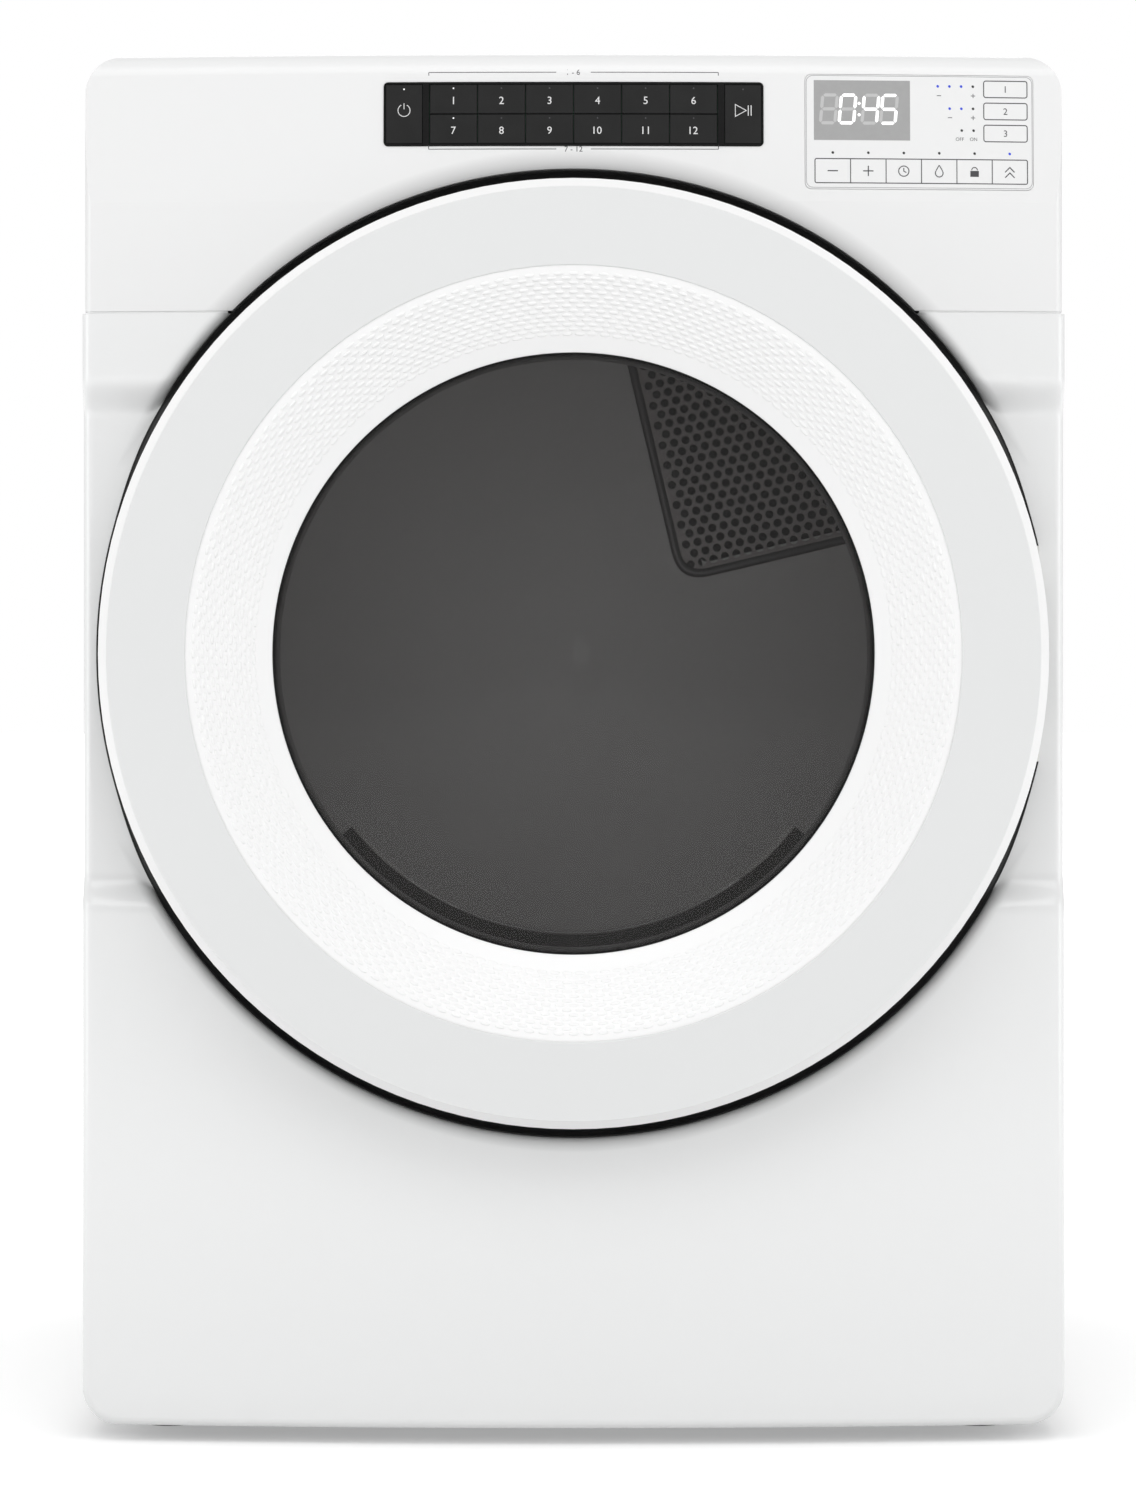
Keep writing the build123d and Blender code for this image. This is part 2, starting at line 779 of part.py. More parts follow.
with BuildPart() as door_hinge_leaf:
    leaf_edge = hinge_x - knuckle_radius
    leaf_back = -liner_back + leaf_thickness
    block((door_leaf_x, leaf_edge), (-liner_back, leaf_back), (hinge_low, hinge_high))
    middle_low = hinge_low + knuckle_length + knuckle_gap
    with BuildSketch(Plane.XY.offset(middle_low)) as knuckle:
        with BuildLine():
            Polyline(
                (leaf_edge - leaf_thickness, floor_y - liner_back),
                (leaf_edge - leaf_thickness, floor_y + leaf_back),
                (hinge_x - knuckle_radius, floor_y + hinge_y),
                (hinge_x, floor_y + hinge_y - knuckle_radius / 2),
                (leaf_edge, floor_y - liner_back),
                close=True,
            )
        make_face()
        with Locations(hinge_point):
            Circle(knuckle_radius)
            Circle(pin_radius + pin_clearance, mode=Mode.SUBTRACT)
    extrude(knuckle.sketch, amount=hinge_length - 2 * (knuckle_length + knuckle_gap))
write(door_hinge_leaf, "door_hinge_leaf")

with BuildPart() as door_strike:
    strike_seat = -liner_seat
    block(
        (latch_x - strike_thickness * 2, latch_x + strike_thickness * 2),
        (strike_seat, strike_seat + leaf_thickness),
        (door_z - strike_width, door_z + strike_width),
    )
    block(
        (latch_x - strike_thickness / 2, latch_x + strike_thickness / 2),
        (strike_seat, strike_seat + strike_length),
        (door_z - strike_width / 2, door_z + strike_width / 2),
    )
    tip = door_strike.faces().sort_by(Axis.Y)[-1]
    chamfer(tip.edges().filter_by(Axis.Z), length=strike_thickness / 4)
write(door_strike, "door_strike")

catch_slot = (strike_thickness + 4 * sheet, strike_width + 4 * sheet)
with BuildPart() as latch_catch:
    block(
        (latch_x - catch_width / 2, latch_x + catch_width / 2),
        (sheet, sheet + catch_depth),
        (door_z - catch_height / 2, door_z + catch_height / 2),
    )
    block(
        (latch_x - catch_slot[0] / 2, latch_x + catch_slot[0] / 2),
        (0, catch_depth - sheet),
        (door_z - catch_slot[1] / 2, door_z + catch_slot[1] / 2),
        mode=Mode.SUBTRACT,
    )
write(latch_catch, "latch_catch")

with BuildPart() as front_panel:
    add(panel_form(0))
    add(panel_form(sheet), mode=Mode.SUBTRACT)
    tube(throat_radius + sheet, 0, 0, case_front)
    tube(throat_radius, 0, -front_reach, case_front, mode=Mode.SUBTRACT)
    block(
        (latch_x - catch_slot[0] / 2, latch_x + catch_slot[0] / 2),
        (-sheet, 2 * sheet),
        (door_z - catch_slot[1] / 2, door_z + catch_slot[1] / 2),
        mode=Mode.SUBTRACT,
    )
write(front_panel, "front_panel")

# ================================================================ drum
with BuildPart() as drum_shell:
    outer = drum_radius + drum_sheet
    beads = []
    for middle in (drum_shoulder + 4 * bead_width, drum_back - 5 * bead_width):
        beads += [
            (middle - bead_width, outer),
            (middle - bead_width / 2, outer + bead_height),
            (middle + bead_width / 2, outer + bead_height),
            (middle + bead_width, outer),
        ]
    outside = [
        (drum_front, neck_radius + drum_sheet),
        (drum_front + neck_length, neck_radius + drum_sheet),
        (drum_shoulder, outer),
        *beads,
        (drum_back, outer),
    ]
    inside = [(away, radius - drum_sheet) for away, radius in reversed(outside)]
    turn([*outside, *inside])
write(drum_shell, "drum_shell")

with BuildPart() as baffle:
    with BuildSketch(section()) as fin:
        with BuildLine():
            root = drum_radius
            crest = root - baffle_height
            lead = baffle_height / 2
            Polyline(
                (baffle_start, root),
                (baffle_start + lead, crest),
                (baffle_start + baffle_length - lead, crest),
                (baffle_start + baffle_length, root),
                close=True,
            )
        make_face()
    extrude(fin.sketch, amount=baffle_foot / 2, both=True)
    with BuildSketch(across(baffle_start - 1)) as wedge:
        with BuildLine():
            Polyline(
                (-baffle_foot / 2, door_z + root - baffle_height / 3),
                (-baffle_crest / 2, door_z + crest),
                (baffle_crest / 2, door_z + crest),
                (baffle_foot / 2, door_z + root - baffle_height / 3),
                (baffle_foot / 2, door_z + root + sheet),
                (-baffle_foot / 2, door_z + root + sheet),
                close=True,
            )
        make_face()
    extrude(wedge.sketch, amount=-baffle_length - 2, mode=Mode.INTERSECT)
    crest_edges = baffle.edges().filter_by(Axis.Y).group_by(Axis.Z)[0]
    fillet(crest_edges, radius=baffle_crest / 3)
    tube(root - fit / 3, 0, baffle_start - 1, baffle_start + baffle_length + 1, mode=Mode.INTERSECT)
with BuildPart() as drum_baffles:
    for number in range(baffle_count):
        turned = baffle_angle - 90 + number * 360 / baffle_count
        add(baffle.part.rotate(door_axis, -turned))
write(drum_baffles, "drum_baffles")

with BuildPart() as drum_seals:
    for start, inner, outer in (
        (drum_front + neck_length / 4, bearing_radius, neck_radius - fit),
        (drum_back - seal_width - fit, drum_radius - seal_width, drum_radius - fit),
    ):
        tube(outer, outer - inner, start, start + seal_width)
write(drum_seals, "drum_seals")

# ================================================================ bulkheads
bulkhead_y = case_front + sheet
lip_angle = math.radians(lip_half_angle)
duct_end = bulkhead_face - sheet - 2 * fit
duct_ring = bearing_radius - sheet - fit
duct_shoulder_z = door_z - math.sqrt(duct_ring**2 - duct_width**2 / 4) + 2 * duct_wall
inlet_x_range = (duct_wall * 4 - duct_width / 2, duct_width / 2 - duct_wall * 4)
inlet_z_range = (duct_shoulder_z, door_z - throat_radius - 2 * duct_wall)


def lip_ends(reach):
    """Points at the two ends of the throat's lower lip, a reach from the door's axis."""
    across_lip, below = reach * math.sin(lip_angle), reach * math.cos(lip_angle)
    return door_middle - Vector(across_lip, below), door_middle + Vector(across_lip, -below)


with BuildPart() as front_bulkhead:
    skin = sheet
    half = side_x - sheet - fit
    with BuildSketch(across(bulkhead_y)) as plate:
        with Locations((0, door_z)):
            Rectangle(2 * half, 2 * bearing_radius + 4 * roller_radius)
    extrude(plate.sketch, amount=-skin)
    tube(bearing_radius, 0, bulkhead_y - skin, bulkhead_y + 2 * skin, mode=Mode.SUBTRACT)
    turn(
        [
            (bulkhead_y, bearing_radius),
            (bulkhead_face, bearing_radius),
            (bulkhead_face, throat_radius),
            (bulkhead_y, throat_radius),
            (bulkhead_y, throat_radius + skin),
            (bulkhead_face - skin, throat_radius + skin),
            (bulkhead_face - skin, bearing_radius - skin),
            (bulkhead_y, bearing_radius - skin),
        ]
    )
    duct_half = duct_width / 2 + fit
    block(
        (-duct_half, duct_half),
        (duct_front - fit, duct_back + fit),
        (duct_base_z, duct_shoulder_z + fit),
        mode=Mode.SUBTRACT,
    )
    block(inlet_x_range, (bulkhead_face - 2 * skin, bulkhead_face + skin), inlet_z_range, mode=Mode.SUBTRACT)
    with BuildSketch(across(bulkhead_y)) as lip_gap:
        with BuildLine():
            left_end, right_end = lip_ends(throat_radius + 2 * skin)
            low_end = door_middle - Vector(0, throat_radius + 2 * skin)
            Polyline(right_end, door_middle, left_end)
            ThreePointArc(left_end, low_end, right_end)
        make_face()
    extrude(lip_gap.sketch, amount=bulkhead_y - bulkhead_face - skin, mode=Mode.SUBTRACT)
write(front_bulkhead, "front_bulkhead")

# ---------------------------------------------------------------- hot-air grille on its disc
lean_in = math.radians(grille_lean)
grille_left = Vector(-math.sin(lean_in), math.cos(lean_in))
grille_right = Vector(math.cos(lean_in), math.sin(lean_in))
grille_corner = Vector(grille_corner_x, grille_corner_z)


def grille_outline(inset):
    """Two straight sides at a corner, closed by an arc round the drum's axis, drawn in."""
    radius = grille_arc - inset
    corner = grille_corner + (grille_left + grille_right) * inset
    ends = []
    for way in (grille_left, grille_right):
        along = corner.dot(way)
        ends.append(corner + way * (math.sqrt(along**2 - corner.dot(corner) + radius**2) - along))
    crown = (ends[0] + ends[1]).normalized() * radius
    with BuildSketch(across(rear_disc)) as outline:
        with BuildLine():
            Polyline(door_middle + ends[0], door_middle + corner, door_middle + ends[1])
            ThreePointArc(door_middle + ends[1], door_middle + crown, door_middle + ends[0])
        make_face()
        fillet(outline.vertices(), radius=grille_round - inset)
    return outline.sketch


grille_holes = []
hole_margin = grille_rim + grille_pitch / 2
row_step = grille_pitch * math.sin(math.pi / 3)
for row in range(int(grille_arc / row_step)):
    for column in range(int(grille_arc / grille_pitch)):
        rightward = hole_margin + (column + row % 2 / 2) * grille_pitch
        place = grille_corner + grille_right * rightward + grille_left * (hole_margin + row * row_step)
        if place.length < grille_arc - hole_margin:
            grille_holes.append((place.X, door_z + place.Y))

with BuildPart() as rear_bulkhead:
    half = side_x - sheet - fit
    disc_radius = drum_radius - seal_width
    with BuildSketch(across(rear_plate)) as plate:
        with Locations((0, door_z)):
            Rectangle(2 * half, 2 * (roller_orbit + roller_radius / 2))
            Circle(disc_radius - sheet, mode=Mode.SUBTRACT)
    extrude(plate.sketch, amount=-sheet)
    turn(
        [
            (rear_disc, 0),
            (rear_disc, disc_radius),
            (rear_plate + sheet, disc_radius),
            (rear_plate + sheet, disc_radius - sheet),
            (rear_disc + sheet, disc_radius - sheet),
            (rear_disc + sheet, 0),
        ]
    )
    extrude(grille_outline(grille_rim), amount=4 * sheet, both=True, mode=Mode.SUBTRACT)
    for hand in (-1, 1):
        place = {"x": hand * roller_x, "z": roller_z}
        tube(roller_stud, 0, roller_front - 2 * sheet, rear_plate, **place)
        tube(2 * roller_stud, 0, roller_front + roller_width + fit, rear_plate, **place)
write(rear_bulkhead, "rear_bulkhead")

with BuildPart() as rear_air_grille:
    extrude(grille_outline(0), amount=3 * sheet)
    extrude(grille_outline(grille_rim), amount=3 * sheet, mode=Mode.SUBTRACT)
    extrude(grille_outline(grille_rim), amount=sheet)
    with BuildSketch(across(rear_disc)) as holes:
        with Locations(*grille_holes):
            RegularPolygon(grille_hole / 2, 6, major_radius=False, rotation=30 + grille_lean)
    extrude(holes.sketch, amount=4 * sheet, both=True, mode=Mode.SUBTRACT)
write(rear_air_grille, "rear_air_grille")

for name, hand in (("left_drum_roller", -1), ("right_drum_roller", 1)):
    with BuildPart() as roller:
        place = {"x": hand * roller_x, "z": roller_z}
        back = roller_front + roller_width
        middle = (roller_front + back) / 2
        groove = roller_width / 4
        turn(
            [
                (roller_front, roller_stud + stud_clearance),
                (roller_front, roller_radius / 2),
                (middle - groove, roller_radius / 2),
                (middle - groove, roller_radius - groove),
                (roller_front, roller_radius - groove),
                (roller_front, roller_radius),
                (back, roller_radius),
                (back, roller_radius - groove),
                (middle + groove, roller_radius - groove),
                (middle + groove, roller_radius / 2),
                (back, roller_radius / 2),
                (back, roller_stud + stud_clearance),
            ],
            **place,
        )
    write(roller, name)

# ================================================================ lint housing and screen
screen_back = screen_front + screen_thickness
slot_half = screen_width / 2 + screen_clearance
slot_range = (screen_front - screen_clearance, screen_back + screen_clearance)


def lip_sector(radius, outer, start, end, mode=Mode.ADD):
    """Part of a ring round the door's axis, under the throat, between two depths."""
    with BuildSketch(across(start)) as sector:
        with BuildLine():
            left_end, right_end = lip_ends(2 * outer)
            Polyline(door_middle, left_end, right_end, close=True)
        make_face()
        with Locations(door_middle):
            Circle(outer, mode=Mode.INTERSECT)
            Circle(radius, mode=Mode.SUBTRACT)
    extrude(sector.sketch, amount=start - end, mode=mode)


def duct_space(skin):
    """The lint housing's outer form, drawn in by a skin."""
    half = duct_width / 2 - skin
    with BuildPart() as space:
        block((-half, half), (duct_front + skin, duct_end - skin), (duct_inlet_top, door_z - lip_radius / 2))
        tube(lip_radius + skin, 0, duct_front - 1, duct_end + 1, mode=Mode.SUBTRACT)
        tube(duct_ring - skin, 0, duct_front - 1, duct_end + 1, mode=Mode.INTERSECT)
        block((-half, half), (duct_front + skin, duct_back - skin), (duct_base_z + skin, duct_shoulder_z))
        block(
            (-half, duct_inlet_x - skin),
            (duct_front + skin, duct_back - skin),
            (duct_base_z + skin, duct_inlet_top - skin),
        )
    return space.part


with BuildPart() as lint_duct:
    add(duct_space(0))
    lip_sector(lip_radius, throat_radius - fit, lip_front, duct_end)
    add(duct_space(duct_wall), mode=Mode.SUBTRACT)
    block((-slot_half, slot_half), slot_range, (door_z - 2 * lip_radius, door_z), mode=Mode.SUBTRACT)
    eye = (duct_back - 2 * duct_wall, duct_back + duct_wall)
    tube(blower_eye, 0, *eye, x=motor_x, z=motor_z, mode=Mode.SUBTRACT)
    slot_pitch = (inlet_x_range[1] - inlet_x_range[0]) / duct_slots
    with BuildSketch(across(duct_end)) as inlets:
        with Locations((0, sum(inlet_z_range) / 2)):
            with GridLocations(slot_pitch, 1, duct_slots, 1):
                Rectangle(slot_pitch / 2, inlet_z_range[1] - inlet_z_range[0])
    extrude(inlets.sketch, amount=-2 * duct_wall, both=True, mode=Mode.SUBTRACT)
write(lint_duct, "lint_duct")

screen_base = door_z - lip_radius - screen_drop
with BuildPart() as lint_screen_frame:
    half = screen_width / 2
    block((-half, half), (screen_front, screen_back), (screen_base, door_z - lip_radius / 2))
    tube(lip_radius, 0, screen_front - 1, screen_back + 1, mode=Mode.SUBTRACT)
    handle = 2 * screen_frame
    window_top = door_z - lip_radius - handle
    clear_width = (screen_width - (screen_ribs + 1) * screen_frame) / screen_ribs
    with BuildSketch(across(screen_back)) as windows:
        with Locations((0, (screen_base + screen_frame + window_top) / 2)):
            with GridLocations(clear_width + screen_frame, 1, screen_ribs, 1):
                RectangleRounded(clear_width, window_top - screen_base - screen_frame, screen_frame / 2)
    extrude(windows.sketch, amount=screen_thickness, mode=Mode.SUBTRACT)
    block(
        (-half + screen_frame / 2, half - screen_frame / 2),
        (screen_front + screen_thickness / 2, screen_front + screen_thickness / 2 + mesh_thickness + fit),
        (screen_base + screen_frame / 2, window_top + screen_frame / 2),
        mode=Mode.SUBTRACT,
    )
write(lint_screen_frame, "lint_screen_frame")

with BuildPart() as lint_screen_mesh:
    block(
        (-half + screen_frame / 2 + fit, half - screen_frame / 2 - fit),
        (
            screen_front + screen_thickness / 2 + fit / 2,
            screen_front + screen_thickness / 2 + fit / 2 + mesh_thickness,
        ),
        (screen_base + screen_frame / 2 + fit, window_top + screen_frame / 2 - fit),
    )
write(lint_screen_mesh, "lint_screen_mesh")

# ================================================================ drive
wheel_front = blower_front + blower_wall + 3
wheel_back = wheel_front + wheel_depth
pulley_front, pulley_back = belt_y - pulley_width / 2, belt_y + pulley_width / 2
arm_front = pulley_back + 3 * fit
drive = {"x": motor_x, "z": motor_z}
pivot = {"x": pivot_x, "z": pivot_z}
idler = {"x": idler_x, "z": idler_z}
tray_floor = base_z + sheet

with BuildPart() as motor_body:
    bell = motor_radius / 4
    turn(
        [
            (motor_front, shaft_radius + shaft_clearance),
            (motor_front, motor_radius / 2),
            (motor_front + bell, motor_radius - bell / 2),
            (motor_front + bell, motor_radius),
            (motor_back - bell, motor_radius),
            (motor_back - bell, motor_radius - bell / 2),
            (motor_back, motor_radius / 2),
            (motor_back, shaft_radius + shaft_clearance),
        ],
        **drive,
    )
    cradle = (motor_front + bell, motor_back - bell)
    block(
        (motor_x - motor_radius, motor_x + motor_radius),
        cradle,
        (tray_floor, motor_z - motor_radius / 2),
    )
    block(
        (motor_x - motor_radius + 3 * sheet, motor_x + motor_radius - 3 * sheet),
        (cradle[0] - 1, cradle[1] + 1),
        (tray_floor + 3 * sheet, motor_z - motor_radius - 3 * sheet),
        mode=Mode.SUBTRACT,
    )
    tube(shaft_radius + shaft_clearance, 0, motor_front - 1, motor_back + 1, mode=Mode.SUBTRACT, **drive)
    ear = (motor_back - bell - sheet, motor_back + bell)
    ear_sides = (pivot_x - 2 * pivot_radius, pivot_x + 4 * pivot_radius)
    block(ear_sides, ear, (tray_floor, pivot_z + 2 * pivot_radius))
    tube(pivot_radius, 0, motor_back, arm_front + arm_thickness + 2 * fit, **pivot)
write(motor_body, "motor_body")

with BuildPart() as motor_rotor:
    tube(shaft_radius, 0, wheel_front, pulley_back + fit, **drive)
    turn(
        [
            (pulley_front, 0),
            (pulley_front, pulley_flange),
            (pulley_front + sheet, pulley_flange),
            (belt_y - belt_width / 2 - fit, pulley_radius),
            (belt_y + belt_width / 2 + fit, pulley_radius),
            (pulley_back - sheet, pulley_flange),
            (pulley_back, pulley_flange),
            (pulley_back, 0),
        ],
        **drive,
    )
write(motor_rotor, "motor_rotor")

with BuildPart() as blower_wheel:
    hub_radius = 2 * shaft_radius
    tube(wheel_radius, 0, wheel_back - 2 * sheet, wheel_back, **drive)
    tube(hub_radius, 0, wheel_front + wheel_depth / 2, wheel_back, **drive)
    tube(wheel_radius, wheel_radius / 5, wheel_front, wheel_front + 2 * sheet, **drive)
    with BuildSketch(across(wheel_front)) as blades:
        with Locations((motor_x, motor_z)):
            with PolarLocations(wheel_radius * 0.9, blade_count):
                Rectangle(wheel_radius / 6, 2 * sheet, rotation=blade_angle)
    extrude(blades.sketch, amount=-wheel_depth)
    tube(shaft_radius, 0, wheel_front - 1, wheel_back + 1, mode=Mode.SUBTRACT, **drive)
write(blower_wheel, "blower_wheel")

with BuildPart() as blower_housing:
    outlet_half = exhaust_radius + blower_wall + fit
    outlet_low, outlet_high = tray_floor + sheet, exhaust_z + exhaust_radius + 2 * blower_wall
    tube(blower_radius, 0, blower_front, blower_back, **drive)
    block((-outlet_half, motor_x), (blower_front, blower_back), (outlet_low, outlet_high))
    inner = (blower_front + blower_wall, blower_back - blower_wall)
    tube(blower_radius - blower_wall, 0, *inner, mode=Mode.SUBTRACT, **drive)
    block(
        (-outlet_half + blower_wall, motor_x),
        inner,
        (outlet_low + blower_wall, outlet_high - blower_wall),
        mode=Mode.SUBTRACT,
    )
    tube(blower_eye, 0, blower_front - 1, blower_back - 2 * blower_wall, mode=Mode.SUBTRACT, **drive)
    tube(hub_radius, 0, blower_back - 2 * blower_wall, blower_back + 1, mode=Mode.SUBTRACT, **drive)
    tube(
        exhaust_radius - exhaust_wall, 0, blower_back - 2 * blower_wall, blower_back + 1,
        z=exhaust_z, mode=Mode.SUBTRACT,
    )
    stand_sides = (motor_x - 4 * blower_wall, motor_x + 4 * blower_wall)
    stand_top = motor_z - blower_radius + 2 * blower_wall
    block(stand_sides, (blower_front, blower_back), (tray_floor, stand_top))
write(blower_housing, "blower_housing")

with BuildPart() as exhaust_duct:
    pipe_radius = exhaust_radius - exhaust_step
    collar_end = case_back + collar_proud
    tube(pipe_radius, exhaust_wall, blower_back, collar_end, z=exhaust_z)
    tube(exhaust_radius, exhaust_step + exhaust_wall / 2, case_back, collar_end, z=exhaust_z)
    tube(exhaust_radius + 4 * blower_wall, 5 * blower_wall, blower_back, blower_back + sheet, z=exhaust_z)
    tube(pipe_radius - exhaust_wall, 0, blower_back - 1, case_back, z=exhaust_z, mode=Mode.SUBTRACT)
write(exhaust_duct, "exhaust_duct")

with BuildPart() as idler_arm:
    with BuildSketch(across(arm_front)) as bar:
        ends = [Vector(pivot_x, pivot_z), Vector(idler_x, idler_z)]
        arm_length = (ends[1] - ends[0]).length
        lean = math.degrees(math.atan2(ends[1].Y - ends[0].Y, ends[1].X - ends[0].X))
        with Locations((ends[0] + ends[1]) / 2):
            SlotCenterToCenter(arm_length, arm_width, rotation=lean)
        with Locations(ends[0]):
            Circle(pivot_radius + shaft_clearance, mode=Mode.SUBTRACT)
    extrude(bar.sketch, amount=-arm_thickness)
    tube(pivot_radius, 0, pulley_front - fit, arm_front, **idler)
write(idler_arm, "idler_arm")

with BuildPart() as idler_pulley:
    turn(
        [
            (pulley_front, pivot_radius + shaft_clearance),
            (pulley_front, idler_radius),
            (pulley_back, idler_radius),
            (pulley_back, pivot_radius + shaft_clearance),
        ],
        **idler,
    )
write(idler_pulley, "idler_pulley")


def belt_loop(grow):
    """The belt's path round drum, idler and motor pulley, moved outwards by a distance."""
    wheels = [
        (Vector(0, door_z), drum_radius + drum_sheet + belt_gap + grow),
        (Vector(idler_x, idler_z), -(idler_radius + belt_gap + belt_thickness - grow)),
        (Vector(motor_x, motor_z), pulley_radius + belt_gap + grow),
    ]
    spans = []
    for index, (centre, signed) in enumerate(wheels):
        next_centre, next_signed = wheels[(index + 1) % len(wheels)]
        line = next_centre - centre
        heading = math.atan2(line.Y, line.X) + math.asin((signed - next_signed) / line.length)
        normal = Vector(-math.sin(heading), math.cos(heading))
        spans.append((centre - normal * signed, next_centre - normal * next_signed))
    with BuildSketch(across(belt_y - belt_width / 2)) as loop:
        with BuildLine():
            for index, (centre, signed) in enumerate(wheels):
                arrive, leave = spans[index - 1][1], spans[index][0]
                between = (arrive - centre) + (leave - centre)
                crown = between.normalized() * abs(signed)
                if index == 0:
                    crown = -crown
                ThreePointArc(arrive, centre + crown, leave)
                Line(leave, spans[index][1])
        make_face()
    return loop.sketch


with BuildPart() as drum_belt:
    extrude(belt_loop(belt_thickness), amount=-belt_width)
    extrude(belt_loop(0), amount=-belt_width, mode=Mode.SUBTRACT)
write(drum_belt, "drum_belt")

# ================================================================ heat, fixings
with BuildPart() as heater_box:
    cup_radius = drum_radius - seal_width - sheet - fit
    cup = (rear_disc + sheet, rear_plate + sheet)
    duct = (cup[1], cup[1] + heater_depth)
    shelf_z = door_z + grille_corner_z - 2 * grille_rim
    for inset, mode in ((0, Mode.ADD), (heater_wall, Mode.SUBTRACT)):
        x_range = (heater_left - 4 * grille_rim + inset, heater_right - inset)
        with BuildSketch(across(cup[0])) as hood:
            with Locations((sum(x_range) / 2, (shelf_z + inset + heater_high) / 2)):
                Rectangle(x_range[1] - x_range[0], heater_high - shelf_z - inset)
            with Locations((0, door_z)):
                Circle(cup_radius - inset, mode=Mode.INTERSECT)
        extrude(hood.sketch, amount=cup[0] - duct[1] + inset, mode=mode)
    x_range = (heater_left, heater_right)
    block(x_range, duct, (heater_low, shelf_z + heater_wall))
    block(
        (x_range[0] + heater_wall, x_range[1] - heater_wall),
        (duct[0] + heater_wall, duct[1] - heater_wall),
        (heater_low - 1, shelf_z + 3 * heater_wall),
        mode=Mode.SUBTRACT,
    )
write(heater_box, "heater_box")

screw_turns = [(number + 0.5) * 360 / door_screw_count for number in range(door_screw_count)]
with BuildPart() as door_screws:
    for outline_radius, start, end in (
        (screw_head, screw_head_height - liner_back, -liner_back),
        (screw_radius, -liner_back, -liner_back - screw_length),
    ):
        with BuildSketch(across(start)) as heads:
            with Locations((0, door_z)):
                with PolarLocations(door_screw_orbit, door_screw_count, screw_turns[0]):
                    Circle(outline_radius)
        extrude(heads.sketch, amount=start - end)
write(door_screws, "door_screws")
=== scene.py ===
# %% [markdown]
# # A front-load clothes dryer, dressed for the studio
#
# The machine's solids come ready made and true to size: the sheet-metal case, the round door, the
# drum, the console and its keys. This lesson gives them what a solid alone lacks: paint, glass,
# felt and zinc, the printed console, the dimpled dish round the window, the perforated air grille,
# the screws, and a plain studio to stand in.

# %% Load the solids
import json
import math

import bmesh
import bpy
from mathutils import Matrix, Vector
from mathutils.bvhtree import BVHTree


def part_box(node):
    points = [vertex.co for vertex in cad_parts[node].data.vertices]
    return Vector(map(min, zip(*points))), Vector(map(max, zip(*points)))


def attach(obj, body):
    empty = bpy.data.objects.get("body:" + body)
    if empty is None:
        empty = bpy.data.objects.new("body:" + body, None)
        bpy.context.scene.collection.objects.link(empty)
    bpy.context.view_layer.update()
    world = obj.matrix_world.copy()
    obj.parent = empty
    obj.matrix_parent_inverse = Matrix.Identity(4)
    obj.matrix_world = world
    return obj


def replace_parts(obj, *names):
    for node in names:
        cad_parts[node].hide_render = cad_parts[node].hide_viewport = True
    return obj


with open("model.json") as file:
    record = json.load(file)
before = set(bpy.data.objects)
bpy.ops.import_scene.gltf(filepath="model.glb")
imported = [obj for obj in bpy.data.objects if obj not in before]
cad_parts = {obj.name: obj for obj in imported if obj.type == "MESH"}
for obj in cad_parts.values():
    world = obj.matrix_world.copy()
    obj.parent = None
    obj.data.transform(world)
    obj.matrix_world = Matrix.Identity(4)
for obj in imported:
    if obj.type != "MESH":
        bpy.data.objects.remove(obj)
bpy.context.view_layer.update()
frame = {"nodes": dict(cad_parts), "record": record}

MM = 0.001
nodes = frame["nodes"]

# %% [markdown]
# ## Where things are
#
# Every place comes from the boxes of the solids, so a piece made here lands on its neighbour
# without fitting. The door is round, so its box gives its middle; the console face is bowed, so
# anything printed on it is later dropped onto the face itself with a ray.

# %% Measure the door, the front and the back
ring_low, ring_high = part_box("door_outer_ring")
door_x, door_z = (ring_low.x + ring_high.x) / 2, (ring_low.z + ring_high.z) / 2
door_radius = (ring_high.z - ring_low.z) / 2
front_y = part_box("front_panel")[0].y
back_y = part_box("rear_panel")[1].y
glass_low, glass_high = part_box("door_glass")
glass_radius = (glass_high.z - glass_low.z) / 2
print("door radius:", round(door_radius, 4), "glass radius:", round(glass_radius, 4))

# %% [markdown]
# ## A small kit for node trees
#
# A shader or a Geometry Nodes tree is a sum written with boxes and wires. It reads better as a
# sum, so one class wraps a socket and lets Python's own signs add the Math nodes. Every other node
# comes from one method that takes its type, what goes into its sockets and its settings.


# %% Sums and nodes
class Value:
    """A number or a vector on its way through a node tree."""

    def __init__(self, recipe, socket):
        self.recipe, self.socket = recipe, socket

    def other(self, name):
        return Value(self.recipe, self.socket.node.outputs[name])

    def math(self, operation, *others, clamp=False):
        settings = {"operation": operation, "use_clamp": clamp}
        return self.recipe.add("ShaderNodeMath", dict(enumerate((self, *others))), settings)

    def vector(self, operation, other, output=0):
        settings = {"operation": operation}
        return self.recipe.add("ShaderNodeVectorMath", {0: self, 1: other}, settings, output)

    def scaled(self, factor):
        inputs = {0: self, "Scale": factor}
        return self.recipe.add("ShaderNodeVectorMath", inputs, {"operation": "SCALE"})

    def parts(self):
        split = self.recipe.add("ShaderNodeSeparateXYZ", {0: self})
        return split, split.other("Y"), split.other("Z")

    def __add__(self, other):
        return self.math("ADD", other)

    def __sub__(self, other):
        return self.math("SUBTRACT", other)

    def __rsub__(self, other):
        return self.recipe.add("ShaderNodeMath", {0: other, 1: self}, {"operation": "SUBTRACT"})

    def __mul__(self, other):
        return self.math("MULTIPLY", other)

    def __truediv__(self, other):
        return self.math("DIVIDE", other)

    __radd__, __rmul__ = __add__, __mul__


